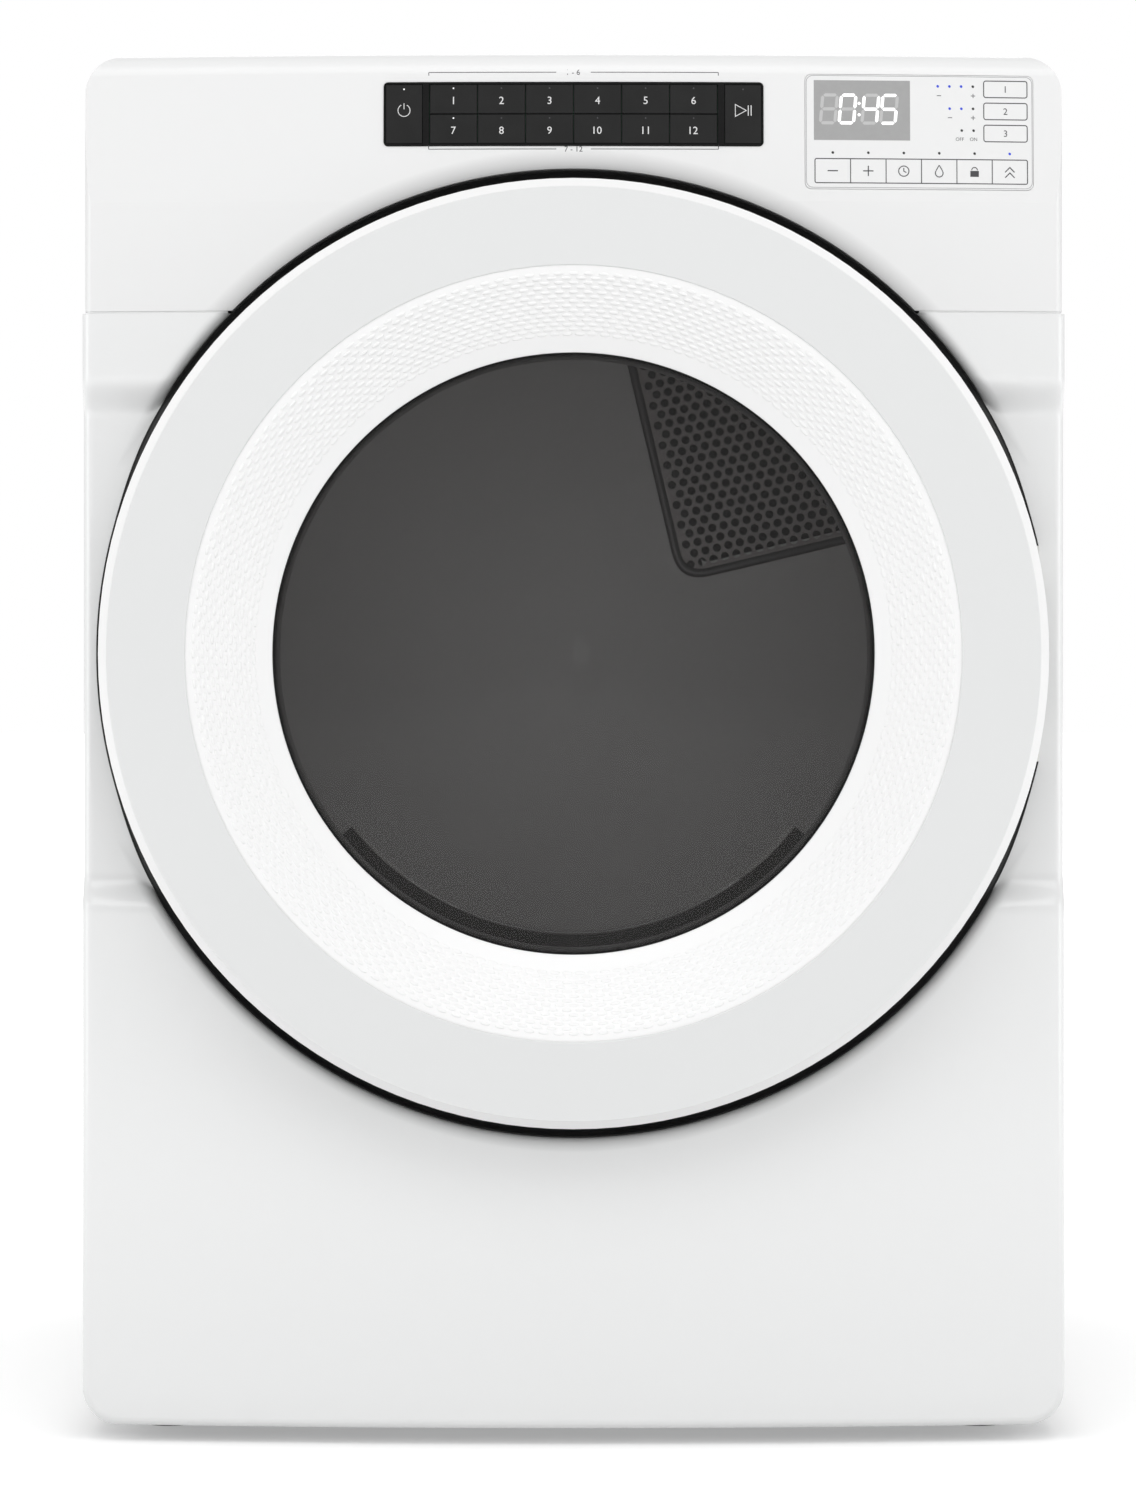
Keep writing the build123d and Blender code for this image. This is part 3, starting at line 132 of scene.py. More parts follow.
class Recipe:
    """A node tree and the one way to add a node to it."""

    family = "ShaderNode"

    def __init__(self, tree):
        self.tree = tree

    def add(self, kind, inputs=None, settings=None, output=0):
        node = self.tree.nodes.new(kind if "Node" in kind else self.family + kind)
        for name, setting in (settings or {}).items():
            setattr(node, name, setting)
        for key, value in (inputs or {}).items():
            self.join(value, node.inputs[key])
        return Value(self, node.outputs[output])

    def combine(self, x=0.0, y=0.0, z=0.0):
        return self.add("ShaderNodeCombineXYZ", {0: x, 1: y, 2: z})

    def join(self, value, socket):
        if isinstance(value, Value):
            self.tree.links.new(value.socket, socket)
        else:
            socket.default_value = value

    def output(self, kind, value):
        self.join(value, self.tree.nodes.new(kind).inputs["Surface"])


print("kit ready")

# %% [markdown]
# ## Finishes
#
# A real surface is never one flat colour. Enamel has a faint orange peel, zinc has spangle, rubber
# is dusty, felt is fibrous. Each finish starts from a Principled shader with its plain numbers, and
# gets its own variation of colour, roughness and relief on top, always in the piece's own space so
# that the pattern stays put when the door or the drum turns.


# %% The finish maker
class Finish(Recipe):
    """A material with a Principled shader and the usual ways to vary it."""

    def __init__(self, name, color, roughness, **others):
        self.material, self.color = bpy.data.materials.new(name), color
        self.material.use_nodes = True
        super().__init__(self.material.node_tree)
        self.shader = self.tree.nodes["Principled BSDF"]
        for key, value in {"base_color": (*color, 1), "roughness": roughness, **others}.items():
            socket = key.replace("_", " ").title().replace("Ior", "IOR")
            self.shader.inputs[socket].default_value = value
        self.place = self.add("TexCoord", output="Object")

    def spots(self, size, detail=1.0, stretch=(1, 1, 1)):
        """Soft random spots of about a size in metres, from 0 to 1."""
        where = self.place.vector("MULTIPLY", stretch)
        inputs = {"Vector": where, "Scale": 1 / size, "Detail": detail}
        return self.add("TexNoise", inputs)

    def cells(self, size, output="Color"):
        """Flat random patches, like crystals."""
        return self.add("TexVoronoi", {"Vector": self.place, "Scale": 1 / size}, output=output)

    def tint(self, mask, low, high):
        """Blends two colours by a mask and paints the surface with the result."""
        inputs = {0: mask, 6: (*low, 1), 7: (*high, 1)}
        mixed = self.add("Mix", inputs, {"data_type": "RGBA"}, 2)
        self.join(mixed, self.shader.inputs["Base Color"])

    def vary(self, socket, value):
        self.join(value, self.shader.inputs[socket])

    def relief(self, height, depth, strength=1.0):
        inputs = {"Height": height, "Distance": depth, "Strength": strength}
        self.join(self.add("Bump", inputs), self.shader.inputs["Normal"])

    def shade(self, factor):
        return tuple(channel * factor for channel in self.color)


finishes = {}


def skin(slot, color, roughness, grain, depth, blotch, wear, **others):
    """A finish with blotches (size, detail, dark, bright), wear (size, detail, swing) and a grain."""
    made = finishes[slot] = Finish(slot, color, roughness, **others)
    size, detail, dark, bright = blotch
    made.tint(made.spots(size, detail), made.shade(dark), made.shade(bright))
    size, detail, swing = wear
    made.vary("Roughness", made.spots(size, detail) * swing + (roughness - swing / 2))
    made.relief(made.spots(grain, 2), depth)


def from_axis(finish):
    """The distance from the door's axis, and the height above it."""
    x, _, z = finish.place.vector("SUBTRACT", (door_x, 0, door_z)).parts()
    return (x * x + z * z).math("SQRT"), z


print("finish maker ready")

# %% [markdown]
# ### White enamel and white plastic
#
# The case is enamelled steel, the door and the console are moulded. They match in colour and differ
# in skin: enamel shows a slow orange peel under a clear gloss, plastic a finer grain with a softer
# shine. The door's rim is a shade greyer, and its bevelled edge is painted brighter: a painted
# highlight. The top gets a copy of the enamel painted a shade darker, as painted shade under the lamp
# above. Where the front rolls over into the recess above and below the door, the lip is painted a
# soft grey: painted shade.

# %% White skins
for slot, color, roughness, grain, depth, coat in (
    ("painted_white", (0.80, 0.805, 0.805), 0.34, 0.0022, 0.00002, 0.6),
    # The top's white is painted a shade darker than the case's enamel: painted shade under the lamp above.
    ("top_white", (0.74, 0.745, 0.745), 0.60, 0.0022, 0.00002, 0.0),
    ("console_white", (0.795, 0.797, 0.797), 0.40, 0.0009, 0.000008, 0.3),
    ("door_white", (0.74, 0.747, 0.747), 0.42, 0.0009, 0.000008, 0.0),
    ("rim_white", (0.74, 0.747, 0.747), 0.40, 0.0009, 0.000008, 0.3),
    ("liner_white", (0.78, 0.785, 0.785), 0.36, 0.0022, 0.00002, 0.2),
    ("overlay_film", (0.795, 0.797, 0.797), 0.40, 0.0009, 0.000006, 0.0),
    ("dish_white", (0.91, 0.91, 0.91), 0.38, 0.0009, 0.000008, 0.0),
):
    coats = {"coat_weight": coat, "coat_roughness": 0.08}
    skin(slot, color, roughness, grain, depth, (0.3, 1, 0.985, 1), (0.05, 3, 0.08), **coats)

# The rim's bevelled edge is painted a brighter white: a painted highlight.
rim, painted_highlight_r, blur = finishes["rim_white"], door_radius - 6 * MM, 0.5 * MM
edge = {0: from_axis(rim)[0], 1: painted_highlight_r - blur, 2: painted_highlight_r + blur, 3: 0.0, 4: 1.0}
rim.tint(rim.add("MapRange", edge), rim.color, (0.87, 0.87, 0.87))

# The lip is painted grey where the front rolls into the recess above and below the door: painted shade,
# fading out over a band from the recess edge, and left out at the sides and inside the recess.
recess_r, shade_band_start, shade_band_fade = door_radius + 11 * MM, 0.13, 0.05
for slot, wide, dark in (("painted_white", 9 * MM, 0.62), ("console_white", 14 * MM, 0.42)):
    lip = finishes[slot]
    distance, z = from_axis(lip)
    away = distance - recess_r
    rolled = (away / wide).math("SUBTRACT", 0, clamp=True).math("POWER", 0.6)
    beside = 1 - (z.math("ABSOLUTE") - shade_band_start).math("DIVIDE", shade_band_fade, clamp=True)
    hidden = away.math("LESS_THAN", -2 * MM)
    lip.tint(rolled.math("MAXIMUM", beside).math("MAXIMUM", hidden), lip.shade(dark), lip.color)
print("white skins:", len(finishes))

# %% [markdown]
# ### Bare and coated metal
#
# The back, the floor pan and the air ducts are hot-dip zinc, whose crystals make flat patches that
# each catch the light a little differently: Voronoi cells give exactly that. The drum and the
# bulkheads carry a grey powder coat, small parts a bright zinc with fine drawn lines.

# %% Metals
zinc = Finish("galvanised", (0.40, 0.41, 0.42), 0.42, metallic=0.85)
patch, patch_b, patch_c = zinc.cells(0.014).parts()
zinc.tint(patch, zinc.shade(0.90), zinc.shade(1.06))
zinc.vary("Roughness", patch_b * 0.16 + 0.32)
zinc.relief(patch_c, 0.00003)
finishes["galvanised"] = zinc

for slot, color, roughness in (
    ("drum_paint", (0.34, 0.335, 0.33), 0.45),
    ("bulkhead_paint", (0.33, 0.325, 0.32), 0.5),
    ("grille_steel", (0.20, 0.185, 0.178), 0.45),
    # The heater's near-black colour is painted shade, so that the grille's holes read dark.
    ("heater_dark", (0.008, 0.007, 0.007), 0.7),
    ("motor_black", (0.05, 0.05, 0.05), 0.4),
):
    skin(slot, color, roughness, 0.0014, 0.00004, (0.0016, 3, 0.88, 1.1), (0.03, 2, 0.12))

drawn, stretch = Finish("zinc_steel", (0.62, 0.62, 0.60), 0.3, metallic=1.0), (1, 1, 0.08)
drawn.tint(drawn.spots(0.01, 3), drawn.shade(0.88), drawn.shade(1.05))
drawn.vary("Roughness", drawn.spots(0.002, 2, stretch) * 0.2 + 0.22)
drawn.relief(drawn.spots(0.0012, 2, stretch), 0.00002)
finishes["zinc_steel"] = drawn
print("metals:", len(finishes))

# %% [markdown]
# ### Glass
#
# The door's outer pane is a smoked dome that mirrors the room and lets a little of the drum
# through. A low alpha lets light pass straight, which is quicker and cleaner than bending it
# through two panes. The inner window is nearly clear.

# %% Glass panes
for slot, color, roughness, alpha in (
    ("smoked_glass", (0.020, 0.019, 0.019), 0.05, 0.40),
    ("clear_window", (0.12, 0.12, 0.12), 0.06, 0.012),
):
    pane = Finish(slot, color, roughness, alpha=alpha, specular_ior_level=0.18)
    pane.tint(pane.spots(0.12), pane.shade(0.9), pane.shade(1.1))
    pane.vary("Roughness", pane.spots(0.08, 2) * 0.03 + roughness)
    finishes[slot] = pane
print("panes ready")

# %% [markdown]
# ### Plastics, rubber, felt and mesh
#
# Keys are satin with a fine spark-eroded grain. Rubber is darker where it is clean and greyer where
# dust sits. Felt is noise stretched into fibres. The lint screen is a real weave: two sine waves at
# right angles, whose crests are the threads and whose gaps are open.

# %% Plastics and soft finishes
for slot, color, roughness, grain, depth in (
    ("key_black", (0.012, 0.012, 0.012), 0.12, 0.004, 0.000004),
    ("key_grey", (0.022, 0.022, 0.022), 0.42, 0.0006, 0.000010),
    ("board_green", (0.02, 0.12, 0.06), 0.35, 0.0030, 0.000040),
    ("grey_plastic", (0.26, 0.26, 0.26), 0.5, 0.0008, 0.000020),
    ("black_plastic", (0.025, 0.025, 0.026), 0.45, 0.0008, 0.000020),
    ("black_rubber", (0.020, 0.020, 0.020), 0.7, 0.0020, 0.000050),
    ("seal_grey", (0.19, 0.187, 0.184), 0.7, 0.0020, 0.000050),
    ("duct_grey", (0.085, 0.083, 0.080), 0.5, 0.0008, 0.000020),
):
    mirror = 0.06 if "key" in slot else 0.5
    blotch, wear = (0.02, 3, 0.85, 1.2), (0.01, 2, 0.08)
    skin(slot, color, roughness, grain, depth, blotch, wear, specular_ior_level=mirror)

felt = Finish("felt", (0.50, 0.48, 0.43), 0.95)
fibre = felt.spots(0.0012, 4, (1, 0.15, 1))
felt.tint(fibre, felt.shade(0.7), felt.shade(1.15))
felt.relief(fibre, 0.0003)
finishes["felt"] = felt

weave, thread = Finish("screen_mesh", (0.10, 0.10, 0.10), 0.6), 1.2 * MM
along, _, up = weave.place.parts()
waves = [(way * (math.tau / thread)).math("SINE") for way in (along, up)]
threads = waves[0].math("MAXIMUM", waves[1])
weave.vary("Alpha", threads.math("GREATER_THAN", 0.35))
weave.tint(threads, weave.shade(0.6), weave.shade(1.6))
weave.relief(threads, 0.0002)
finishes["screen_mesh"] = weave
print("finishes:", len(finishes))

# %% [markdown]
# ## Give every solid its finish
#
# The record names a finish for each solid. A solid keeps its own mesh; only its material slot
# changes. Five solids get a finish of their own: the dish is the whitest plastic on the door, its
# rim a greyer one with a painted highlight on its bevel, the heater box is steel coloured almost
# black as painted shade, so that the grille's holes read dark, the lint duct is moulded in dark
# grey, and the top has a flat skin that mirrors nothing, in a white painted a shade darker as
# painted shade.

# %% Dress the solids
own_finish = {
    "door_dish_ring": "dish_white", "door_outer_ring": "rim_white", "heater_box": "heater_dark",
    "lint_duct": "duct_grey", "top_panel": "top_white",
}
for subpart in frame["record"]["subparts"]:
    slots = nodes[subpart["node"]].data.materials
    slots.clear()
    slots.append(finishes[own_finish.get(subpart["node"], subpart["material_slot"])].material)

# %% [markdown]
# ## Helpers for new pieces
#
# A few things come back all the time: a mesh that has to ride on a body and name its finish, a
# closed form stretched over rows of points, a round form turned about the door's axis, a modifier
# run on a plain mesh, and the front-most point of the machine at a given place, found with a ray.


# %% Piece, loft, lathe and touch
def piece(name, mesh, body, slot, smooth=True):
    mesh.materials.clear()
    mesh.materials.append(finishes[slot].material)
    mesh.shade_smooth() if smooth else mesh.shade_flat()
    made = bpy.data.objects.new(name, mesh)
    bpy.context.scene.collection.objects.link(made)
    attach(made, body)
    slot in record_slots
    return made


def mesh_of(name, points, faces=()):
    mesh = bpy.data.meshes.new(name)
    mesh.from_pydata(points, [], faces)
    mesh.update()
    return mesh


def closed(name, shape):
    """Turns a bmesh into a mesh with its faces pointing outward."""
    bmesh.ops.recalc_face_normals(shape, faces=shape.faces)
    mesh = bpy.data.meshes.new(name)
    shape.to_mesh(mesh)
    shape.free()
    return mesh


def loft(name, *bodies, ring=False):
    """A skin over rows of points for each body; a ring joins its last row to its first."""
    shape = bmesh.new()
    for rows in bodies:
        rows = [[shape.verts.new(point) for point in row] for row in rows]
        ends = [] if ring else [rows[0], rows[-1][::-1]]
        for first, second in zip(rows, rows[1:] + rows[:1] if ring else rows[1:]):
            for step in range(len(first)):
                before = step - 1
                shape.faces.new((first[before], first[step], second[step], second[before]))
        for end in ends:
            shape.faces.new(end)
    bmesh.ops.recalc_face_normals(shape, faces=shape.faces)
    bmesh.ops.triangulate(shape, faces=[face for face in shape.faces if len(face.verts) > 4])
    return closed(name, shape)


def level(loop, depth):
    """A row of points from a flat loop round the door's middle."""
    return [(door_x + point.x, depth, door_z + point.y) for point in loop]


def slab(loop, front, back):
    """The two rows of a flat plate."""
    return [level(loop, front), level(loop, back)]


def lathe(name, outline, start=0, end=360, steps=192):
    """A closed outline of (radius, depth) points swept round the door's axis."""
    rows, whole = [], end - start == 360
    for step in range(steps + (not whole)):
        turn = math.radians(start + (end - start) * step / steps)
        x, z = math.cos(turn), math.sin(turn)
        section = outline(turn) if callable(outline) else outline
        rows.append([(door_x + radius * x, depth, door_z + radius * z) for radius, depth in section])
    return loft(name, rows, ring=whole)


def modified(mesh, kind, settings, keys=None):
    """Runs one modifier on a mesh and returns a plain mesh."""
    host = bpy.data.objects.new("host", mesh)
    bpy.context.scene.collection.objects.link(host)
    modifier = host.modifiers.new("change", kind)
    for name, setting in settings.items():
        setattr(modifier, name, setting)
    for key, value in (keys or {}).items():
        modifier[key] = value
    bpy.context.view_layer.update()
    graph = bpy.context.evaluated_depsgraph_get()
    result = bpy.data.meshes.new_from_object(host.evaluated_get(graph))
    host.modifiers.remove(modifier)
    bpy.data.objects.remove(host)
    return result


record_slots = {material["slot"] for material in frame["record"]["materials"]}
skins = {}


def learn(name, mesh):
    """Makes a mesh known to touch."""
    points, faces = [vertex.co for vertex in mesh.vertices], [face.vertices[:] for face in mesh.polygons]
    skins[name] = BVHTree.FromPolygons(points, faces)


def touch(names, x, z):
    """The front-most point of some solids, looking along the depth at x, z."""
    hits = []
    for name in names:
        if name not in skins:
            learn(name, nodes[name].data)
        hit = skins[name].ray_cast(Vector((x, -2.0, z)), Vector((0, 1, 0)))[0]
        hits += [hit.y] if hit else []
    return min(hits, default=front_y)


print("crown of the console at", round(touch(["console_fascia"], 0, 0.85), 4))

# %% [markdown]
# ## The pressed front
#
# The front is one sheet, bowed from side to side, with a round recess for the door and a shallow
# scoop at each side for the fingers. A press leaves no hard crease, so the scoops run out softly
# and the recess has a rolled lip. All of this is one rule for the depth at any place. The sheet is
# a net of rays from the recess to the outline, and Solidify gives it the thickness of sheet steel.

# %% Measure the front
panel_low, panel_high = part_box("front_panel")
recess_y = touch(["front_panel"], door_x + door_radius + 4 * MM, door_z)
throat_r = glass_radius + 9.5 * MM
bow_radius, edge_round, corner_round, lip_round = 2.940, 6 * MM, 26 * MM, 8 * MM
scoop_levels = {1: (165 * MM, 193 * MM), -1: (155 * MM, 179 * MM)}
print("recess floor:", round(recess_y, 4), "recess radius:", round(recess_r, 4))


# %% The rule for the depth
def soft(share):
    share = min(1.0, max(0.0, share))
    return share * share * (3 - 2 * share)


def roll(distance, radius):
    """How far a rolled edge has dropped at a distance from its end."""
    left = max(0.0, radius - max(0.0, distance))
    return radius - math.sqrt(radius * radius - left * left)


def inside(x, z):
    """Distance to the sides and the bottom of the front, with its round lower corners."""
    aside = abs(x) - (panel_high.x - corner_round)
    under = (panel_low.z + corner_round) - z
    corner = math.hypot(max(aside, 0), max(under, 0)) + min(max(aside, under), 0)
    return corner_round - corner


def front_depth(x, z):
    bowed = panel_low.y + bow_radius - math.sqrt(bow_radius**2 - x * x)
    level = z - door_z
    flat, full = scoop_levels[1 if level > 0 else -1]
    pressed = bowed + (recess_y - bowed) * (1 - soft((abs(level) - flat) / (full - flat)))
    away = math.hypot(x - door_x, z - door_z) - recess_r
    lipped = min(pressed + roll(away, lip_round), max(recess_y, pressed))
    return lipped + roll(inside(x, z), edge_round)


print("depth at the crown:", round(front_depth(0, panel_low.z + 0.1), 4))

# %% Outline of the front
spacing, left_x, right_x, top_z = 3 * MM, panel_low.x, panel_high.x, panel_high.z
rim_points = []


def walk(start, end):
    steps = max(1, round((Vector(end) - Vector(start)).length / spacing))
    rim_points.extend(Vector(start).lerp(Vector(end), step / steps) for step in range(steps))


def bend(middle, start):
    for step in range(14):
        turn = math.radians(start + 90 * step / 14)
        rim_points.append(Vector(middle) + Vector((math.cos(turn), math.sin(turn))) * corner_round)


low_z = panel_low.z + corner_round
cut_x, hair = math.sqrt(recess_r**2 - (top_z - door_z) ** 2), 0.05 * MM
stops = [right_x, cut_x + hair, cut_x - hair, hair - cut_x, -hair - cut_x, left_x]
for start_x, end_x in zip(stops, stops[1:]):
    walk((start_x, top_z), (end_x, top_z))
walk((left_x, top_z), (left_x, low_z))
bend((left_x + corner_round, low_z), 180)
walk((left_x + corner_round, panel_low.z), (right_x - corner_round, panel_low.z))
bend((right_x - corner_round, low_z), 270)
walk((right_x, low_z), (right_x, top_z))
print("outline points:", len(rim_points))

# %% The net of rays
edge_steps = [step * MM for step in (0.0, 0.25, 1.0, 2.4, 4.4, 7.2)]
lip_steps = [step * MM for step in (9.5, 6.5, 4.2, 2.3, 0.9, 0.2, 0.0)]
floor_steps = [(recess_r, 0), (recess_r - 1 * MM, 0), (0.3 * recess_r + 0.7 * throat_r, 0)]
floor_steps += [(throat_r + 3 * MM, 0), (throat_r + 0.9 * MM, 0.9 * MM), (throat_r, 3 * MM)]
floor_steps += [(throat_r, panel_high.y - recess_y)]
door_middle = Vector((door_x, door_z))
points, stations = [], 1 + len(edge_steps) + 11 + len(lip_steps) + len(floor_steps)
for outer in rim_points:
    ray = outer - door_middle
    reach, way = max(0.0, ray.length - recess_r), ray.normalized()
    brink = 0.0 if reach else 0.4 * MM
    out = [min(step, 0.4 * reach * index / 6) for index, step in enumerate(edge_steps)]
    near = [min(step, 0.4 * reach * (6 - index) / 6) for index, step in enumerate(lip_steps)]
    first, last = out[-1], reach - near[0]
    middle = [first + (last - first) * step / 12 for step in range(1, 12)]
    points.append((outer.x, panel_high.y, outer.y))
    for distance in out + middle + [reach - step for step in near[:-1]] + [reach + brink]:
        place = outer - way * distance
        points.append((place.x, front_depth(*place) if reach else recess_y, place.y))
    for radius, drop in floor_steps:
        place = door_middle + way * min(radius, ray.length - brink)
        points.append((place.x, recess_y + drop, place.y))
faces = []
for one in range(0, len(points), stations):
    two = (one + stations) % len(points)
    faces += [(one + step, one + step + 1, two + step + 1, two + step) for step in range(stations - 1)]
shape = bmesh.new()
shape.from_mesh(mesh_of("net", points, faces))
bmesh.ops.remove_doubles(shape, verts=shape.verts, dist=0.005 * MM)
bmesh.ops.dissolve_degenerate(shape, edges=shape.edges, dist=0.002 * MM)
front_mesh = closed("front", shape)
if min(front_mesh.polygons, key=lambda face: face.center.y).normal.y > 0:
    front_mesh.flip_normals()
solid = {"thickness": 1.2 * MM, "offset": -1.0, "use_even_offset": False}
front_mesh = modified(front_mesh, "SOLIDIFY", solid)
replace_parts(piece("pressed_front", front_mesh, "cabinet", "painted_white"), "front_panel")
print("front faces:", len(front_mesh.polygons))

# %% [markdown]
# ## The inside of the door
#
# Behind the pane sits a clear moulded bowl that keeps laundry off it, held behind the hole of a
# white pressed liner. Both are turned forms, so each is one outline swept round the door's axis.
# A clear bowl hides nothing, so the drum shows right up to the edge of the pane.

# %% Liner and bowl
liner_low, liner_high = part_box("door_inner_panel")
liner_r = (liner_high.z - liner_low.z) / 2
bowl_r, bowl_tip = glass_radius + 3.5 * MM, glass_radius - 0.5 * MM
step_out, step_in = door_radius - 39.5 * MM, door_radius - 57.5 * MM


def at_depth(base, *pairs):
    return [(radius, base + depth * MM) for radius, depth in pairs]


liner_outline = at_depth(
    recess_y, (liner_r, -30), (step_out + 4 * MM, -30), (step_out + 1 * MM, -29.2),
    (step_out - 1 * MM, -27.5), (step_in + 1 * MM, -10), (step_in - 1 * MM, -8.6),
    (step_in - 4 * MM, -8), (bowl_r + 1 * MM, -8), (bowl_r, -8.6), (bowl_r, -9.5),
    (step_in - 5 * MM, -9.5), (step_in - 2.6 * MM, -10.4), (step_out - 2.6 * MM, -28.6),
    (step_out + 0.4 * MM, -31.1), (step_out + 4 * MM, -31.5), (liner_r, -31.5),
)
bowl_outline = at_depth(recess_y, (bowl_r + 10 * MM, -9.8), (bowl_r - 0.4 * MM, -9.8))
bowl_outline += at_depth(
    liner_high.y, (bowl_tip + 0.1 * MM, -6), (bowl_tip - 2 * MM, -1.6), (bowl_tip - 6 * MM, 0),
    (0.5 * bowl_tip, 0), (0.2 * MM, 0), (0.2 * MM, -3), (0.5 * bowl_tip, -3), (bowl_tip - 7.2 * MM, -3),
    (bowl_tip - 4.3 * MM, -4.2), (bowl_tip - 2.9 * MM, -7),
)
bowl_outline += at_depth(recess_y, (bowl_r - 3.4 * MM, -12.8), (bowl_r + 10 * MM, -12.8))
for name, outline, slot, solid in (
    ("door_liner", liner_outline, "liner_white", "door_inner_panel"),
    ("door_clear_bowl", bowl_outline, "clear_window", "door_inner_window"),
):
    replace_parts(piece(name, lathe(name, outline), "door", slot), solid)
print("bowl radius:", round(bowl_r, 4))

# %% [markdown]
# ## Print for the console
#
# Legends on an appliance are screen printed: ink a few hundredths of a millimetre thick. Drawing
# them flat in x and z and dropping every point onto the bowed face keeps them exact, and a thin
# wall makes each mark a closed piece instead of a floating sheet.


# %% The stencil
strip_low, strip_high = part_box("key_bezel")
strip_z = (strip_low.z + strip_high.z) / 2 / MM


def circle(middle, radius, turns):
    return [Vector((middle[0] + radius * math.cos(t), middle[1] + radius * math.sin(t))) for t in turns]


class Stencil:
    """Flat marks that are dropped onto the machine's face.

    Places are in millimetres: x from the machine's middle, z from the middle of the key strip.
    """

    def __init__(self):
        self.shape = bmesh.new()

    def face(self, points):
        verts = [self.shape.verts.new((x * MM, 0, (z + strip_z) * MM)) for x, z in points]
        made = self.shape.faces.new(verts)
        made.normal_update()
        if made.normal.y > 0:
            made.normal_flip()

    def strip(self, points, wide, closed=False):
        """A line of even width through some points."""
        points, sides = [Vector(point) for point in points], []
        count = len(points)
        for index, point in enumerate(points):
            before = points[index - 1] if index or closed else point
            after = points[(index + 1) % count] if index < count - 1 or closed else point
            legs = [run.normalized() for run in (point - before, after - point) if run.length > 1e-6]
            mean = sum(legs, Vector((0, 0))).normalized()
            square = Vector((-mean.y, mean.x)) * (wide / 2 / max(0.3, mean.dot(legs[0])))
            sides.append((point + square, point - square))
        for index in range(count if closed else count - 1):
            first, second = sides[index], sides[(index + 1) % count]
            self.face([first[0], second[0], second[1], first[1]])

    def line(self, start, end, wide, parts=12):
        start, end = Vector(start), Vector(end)
        self.strip([start.lerp(end, part / parts) for part in range(parts + 1)], wide)

    def arc(self, middle, radius, start, end, wide, parts=20, closed=False):
        spread = parts if closed else parts - 1
        turns = [math.radians(start + (end - start) * part / spread) for part in range(parts)]
        self.strip(circle(middle, radius, turns), wide, closed)

    def disc(self, middle, radius, parts):
        self.face(circle(middle, radius, [math.tau * part / parts for part in range(parts)]))

    def rounded(self, x_range, z_range, corner, parts=6, split=16):
        """Points round a rectangle with round corners, with its long sides divided."""
        points, (left, right), (low, high) = [], x_range, z_range
        middles = (right, high, -1, -1), (left, high, 1, -1), (left, low, 1, 1), (right, low, -1, 1)
        for index, (x, z, inward, upward) in enumerate(middles):
            turns = [math.radians(90 * index + 90 * part / parts) for part in range(parts + 1)]
            points += circle((x + inward * corner, z + upward * corner), corner, turns)
        ring = []
        for index, point in enumerate(points):
            after = points[(index + 1) % len(points)]
            pieces = split if (after - point).length > 4 * corner else 1
            ring += [point.lerp(after, step / pieces) for step in range(pieces)]
        return ring

    def outline(self, x_range, z_range, corner, wide):
        self.strip(self.rounded(x_range, z_range, corner), wide, closed=True)

    def words(self, text, middle, height):
        curve = bpy.data.curves.new("words", "FONT")
        curve.body, curve.size, curve.resolution_u = text, 1.0, 3
        writing = bpy.data.objects.new("words", curve)
        mesh = bpy.data.meshes.new_from_object(writing)
        xs, ys = zip(*(vertex.co.xy for vertex in mesh.vertices))
        scale = height / (max(ys) - min(ys))
        shift = Vector(((max(xs) + min(xs)) / 2, (max(ys) + min(ys)) / 2))
        flat = [(vertex.co.xy - shift) * scale + Vector(middle) for vertex in mesh.vertices]
        for polygon in mesh.polygons:
            self.face([flat[index] for index in polygon.vertices])
        bpy.data.objects.remove(writing)
        bpy.data.meshes.remove(mesh)
        bpy.data.curves.remove(curve)

    def press(self, name, onto, body, slot, thick=0.04):
        """Drops the marks onto the solids, gives them their thickness and makes the piece."""
        bmesh.ops.remove_doubles(self.shape, verts=self.shape.verts, dist=0.001 * MM)
        for vertex in self.shape.verts:
            vertex.co.y = touch(onto, vertex.co.x, vertex.co.z) + 0.01 * MM
        raised = bmesh.ops.extrude_face_region(self.shape, geom=self.shape.faces[:], use_keep_orig=True)
        for vertex in (item for item in raised["geom"] if isinstance(item, bmesh.types.BMVert)):
            vertex.co.y -= (thick + 0.01) * MM
        return piece(name, closed(name, self.shape), body, slot, smooth=False)


for slot, color, glow in (
    ("grey_ink", (0.045, 0.045, 0.05), 0.0),
    ("pale_ink", (0.36, 0.36, 0.37), 0.0),
    ("black_ink", (0.02, 0.02, 0.02), 0.0),
    ("key_ink", (0.72, 0.72, 0.72), 0.0),
    ("lit_white", (0.95, 0.95, 0.95), 0.35),
    ("lit_blue", (0.02, 0.06, 0.62), 0.12),
    ("display_grey", (0.35, 0.35, 0.35), 0.0),
    ("display_ghost", (0.50, 0.50, 0.50), 0.0),
):
    ink = Finish(slot, color, 0.45, emission_strength=glow, emission_color=(*color, 1))
    ink.tint(ink.spots(0.004, 2), ink.shade(0.94), ink.shade(1.04))
    finishes[slot] = ink
print("inks ready")

# %% [markdown]
# ### Key legends
#
# Twelve programme keys carry plain numbers. The two end keys carry the signs that every such
# machine has: a broken ring with a bar for on and off, and a triangle with two bars for start and
# pause. Each legend rides on its own key, so it goes in when the key does.

# %% Numbers and signs on the keys
cycle_keys = [f"key_cycle_{number}" for number in range(1, 13)]


def key_middle(name):
    """The middle of a key, in the stencil's millimetres."""
    low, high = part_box(name)
    return (low.x + high.x) / 2 / MM, (low.z + high.z) / 2 / MM - strip_z


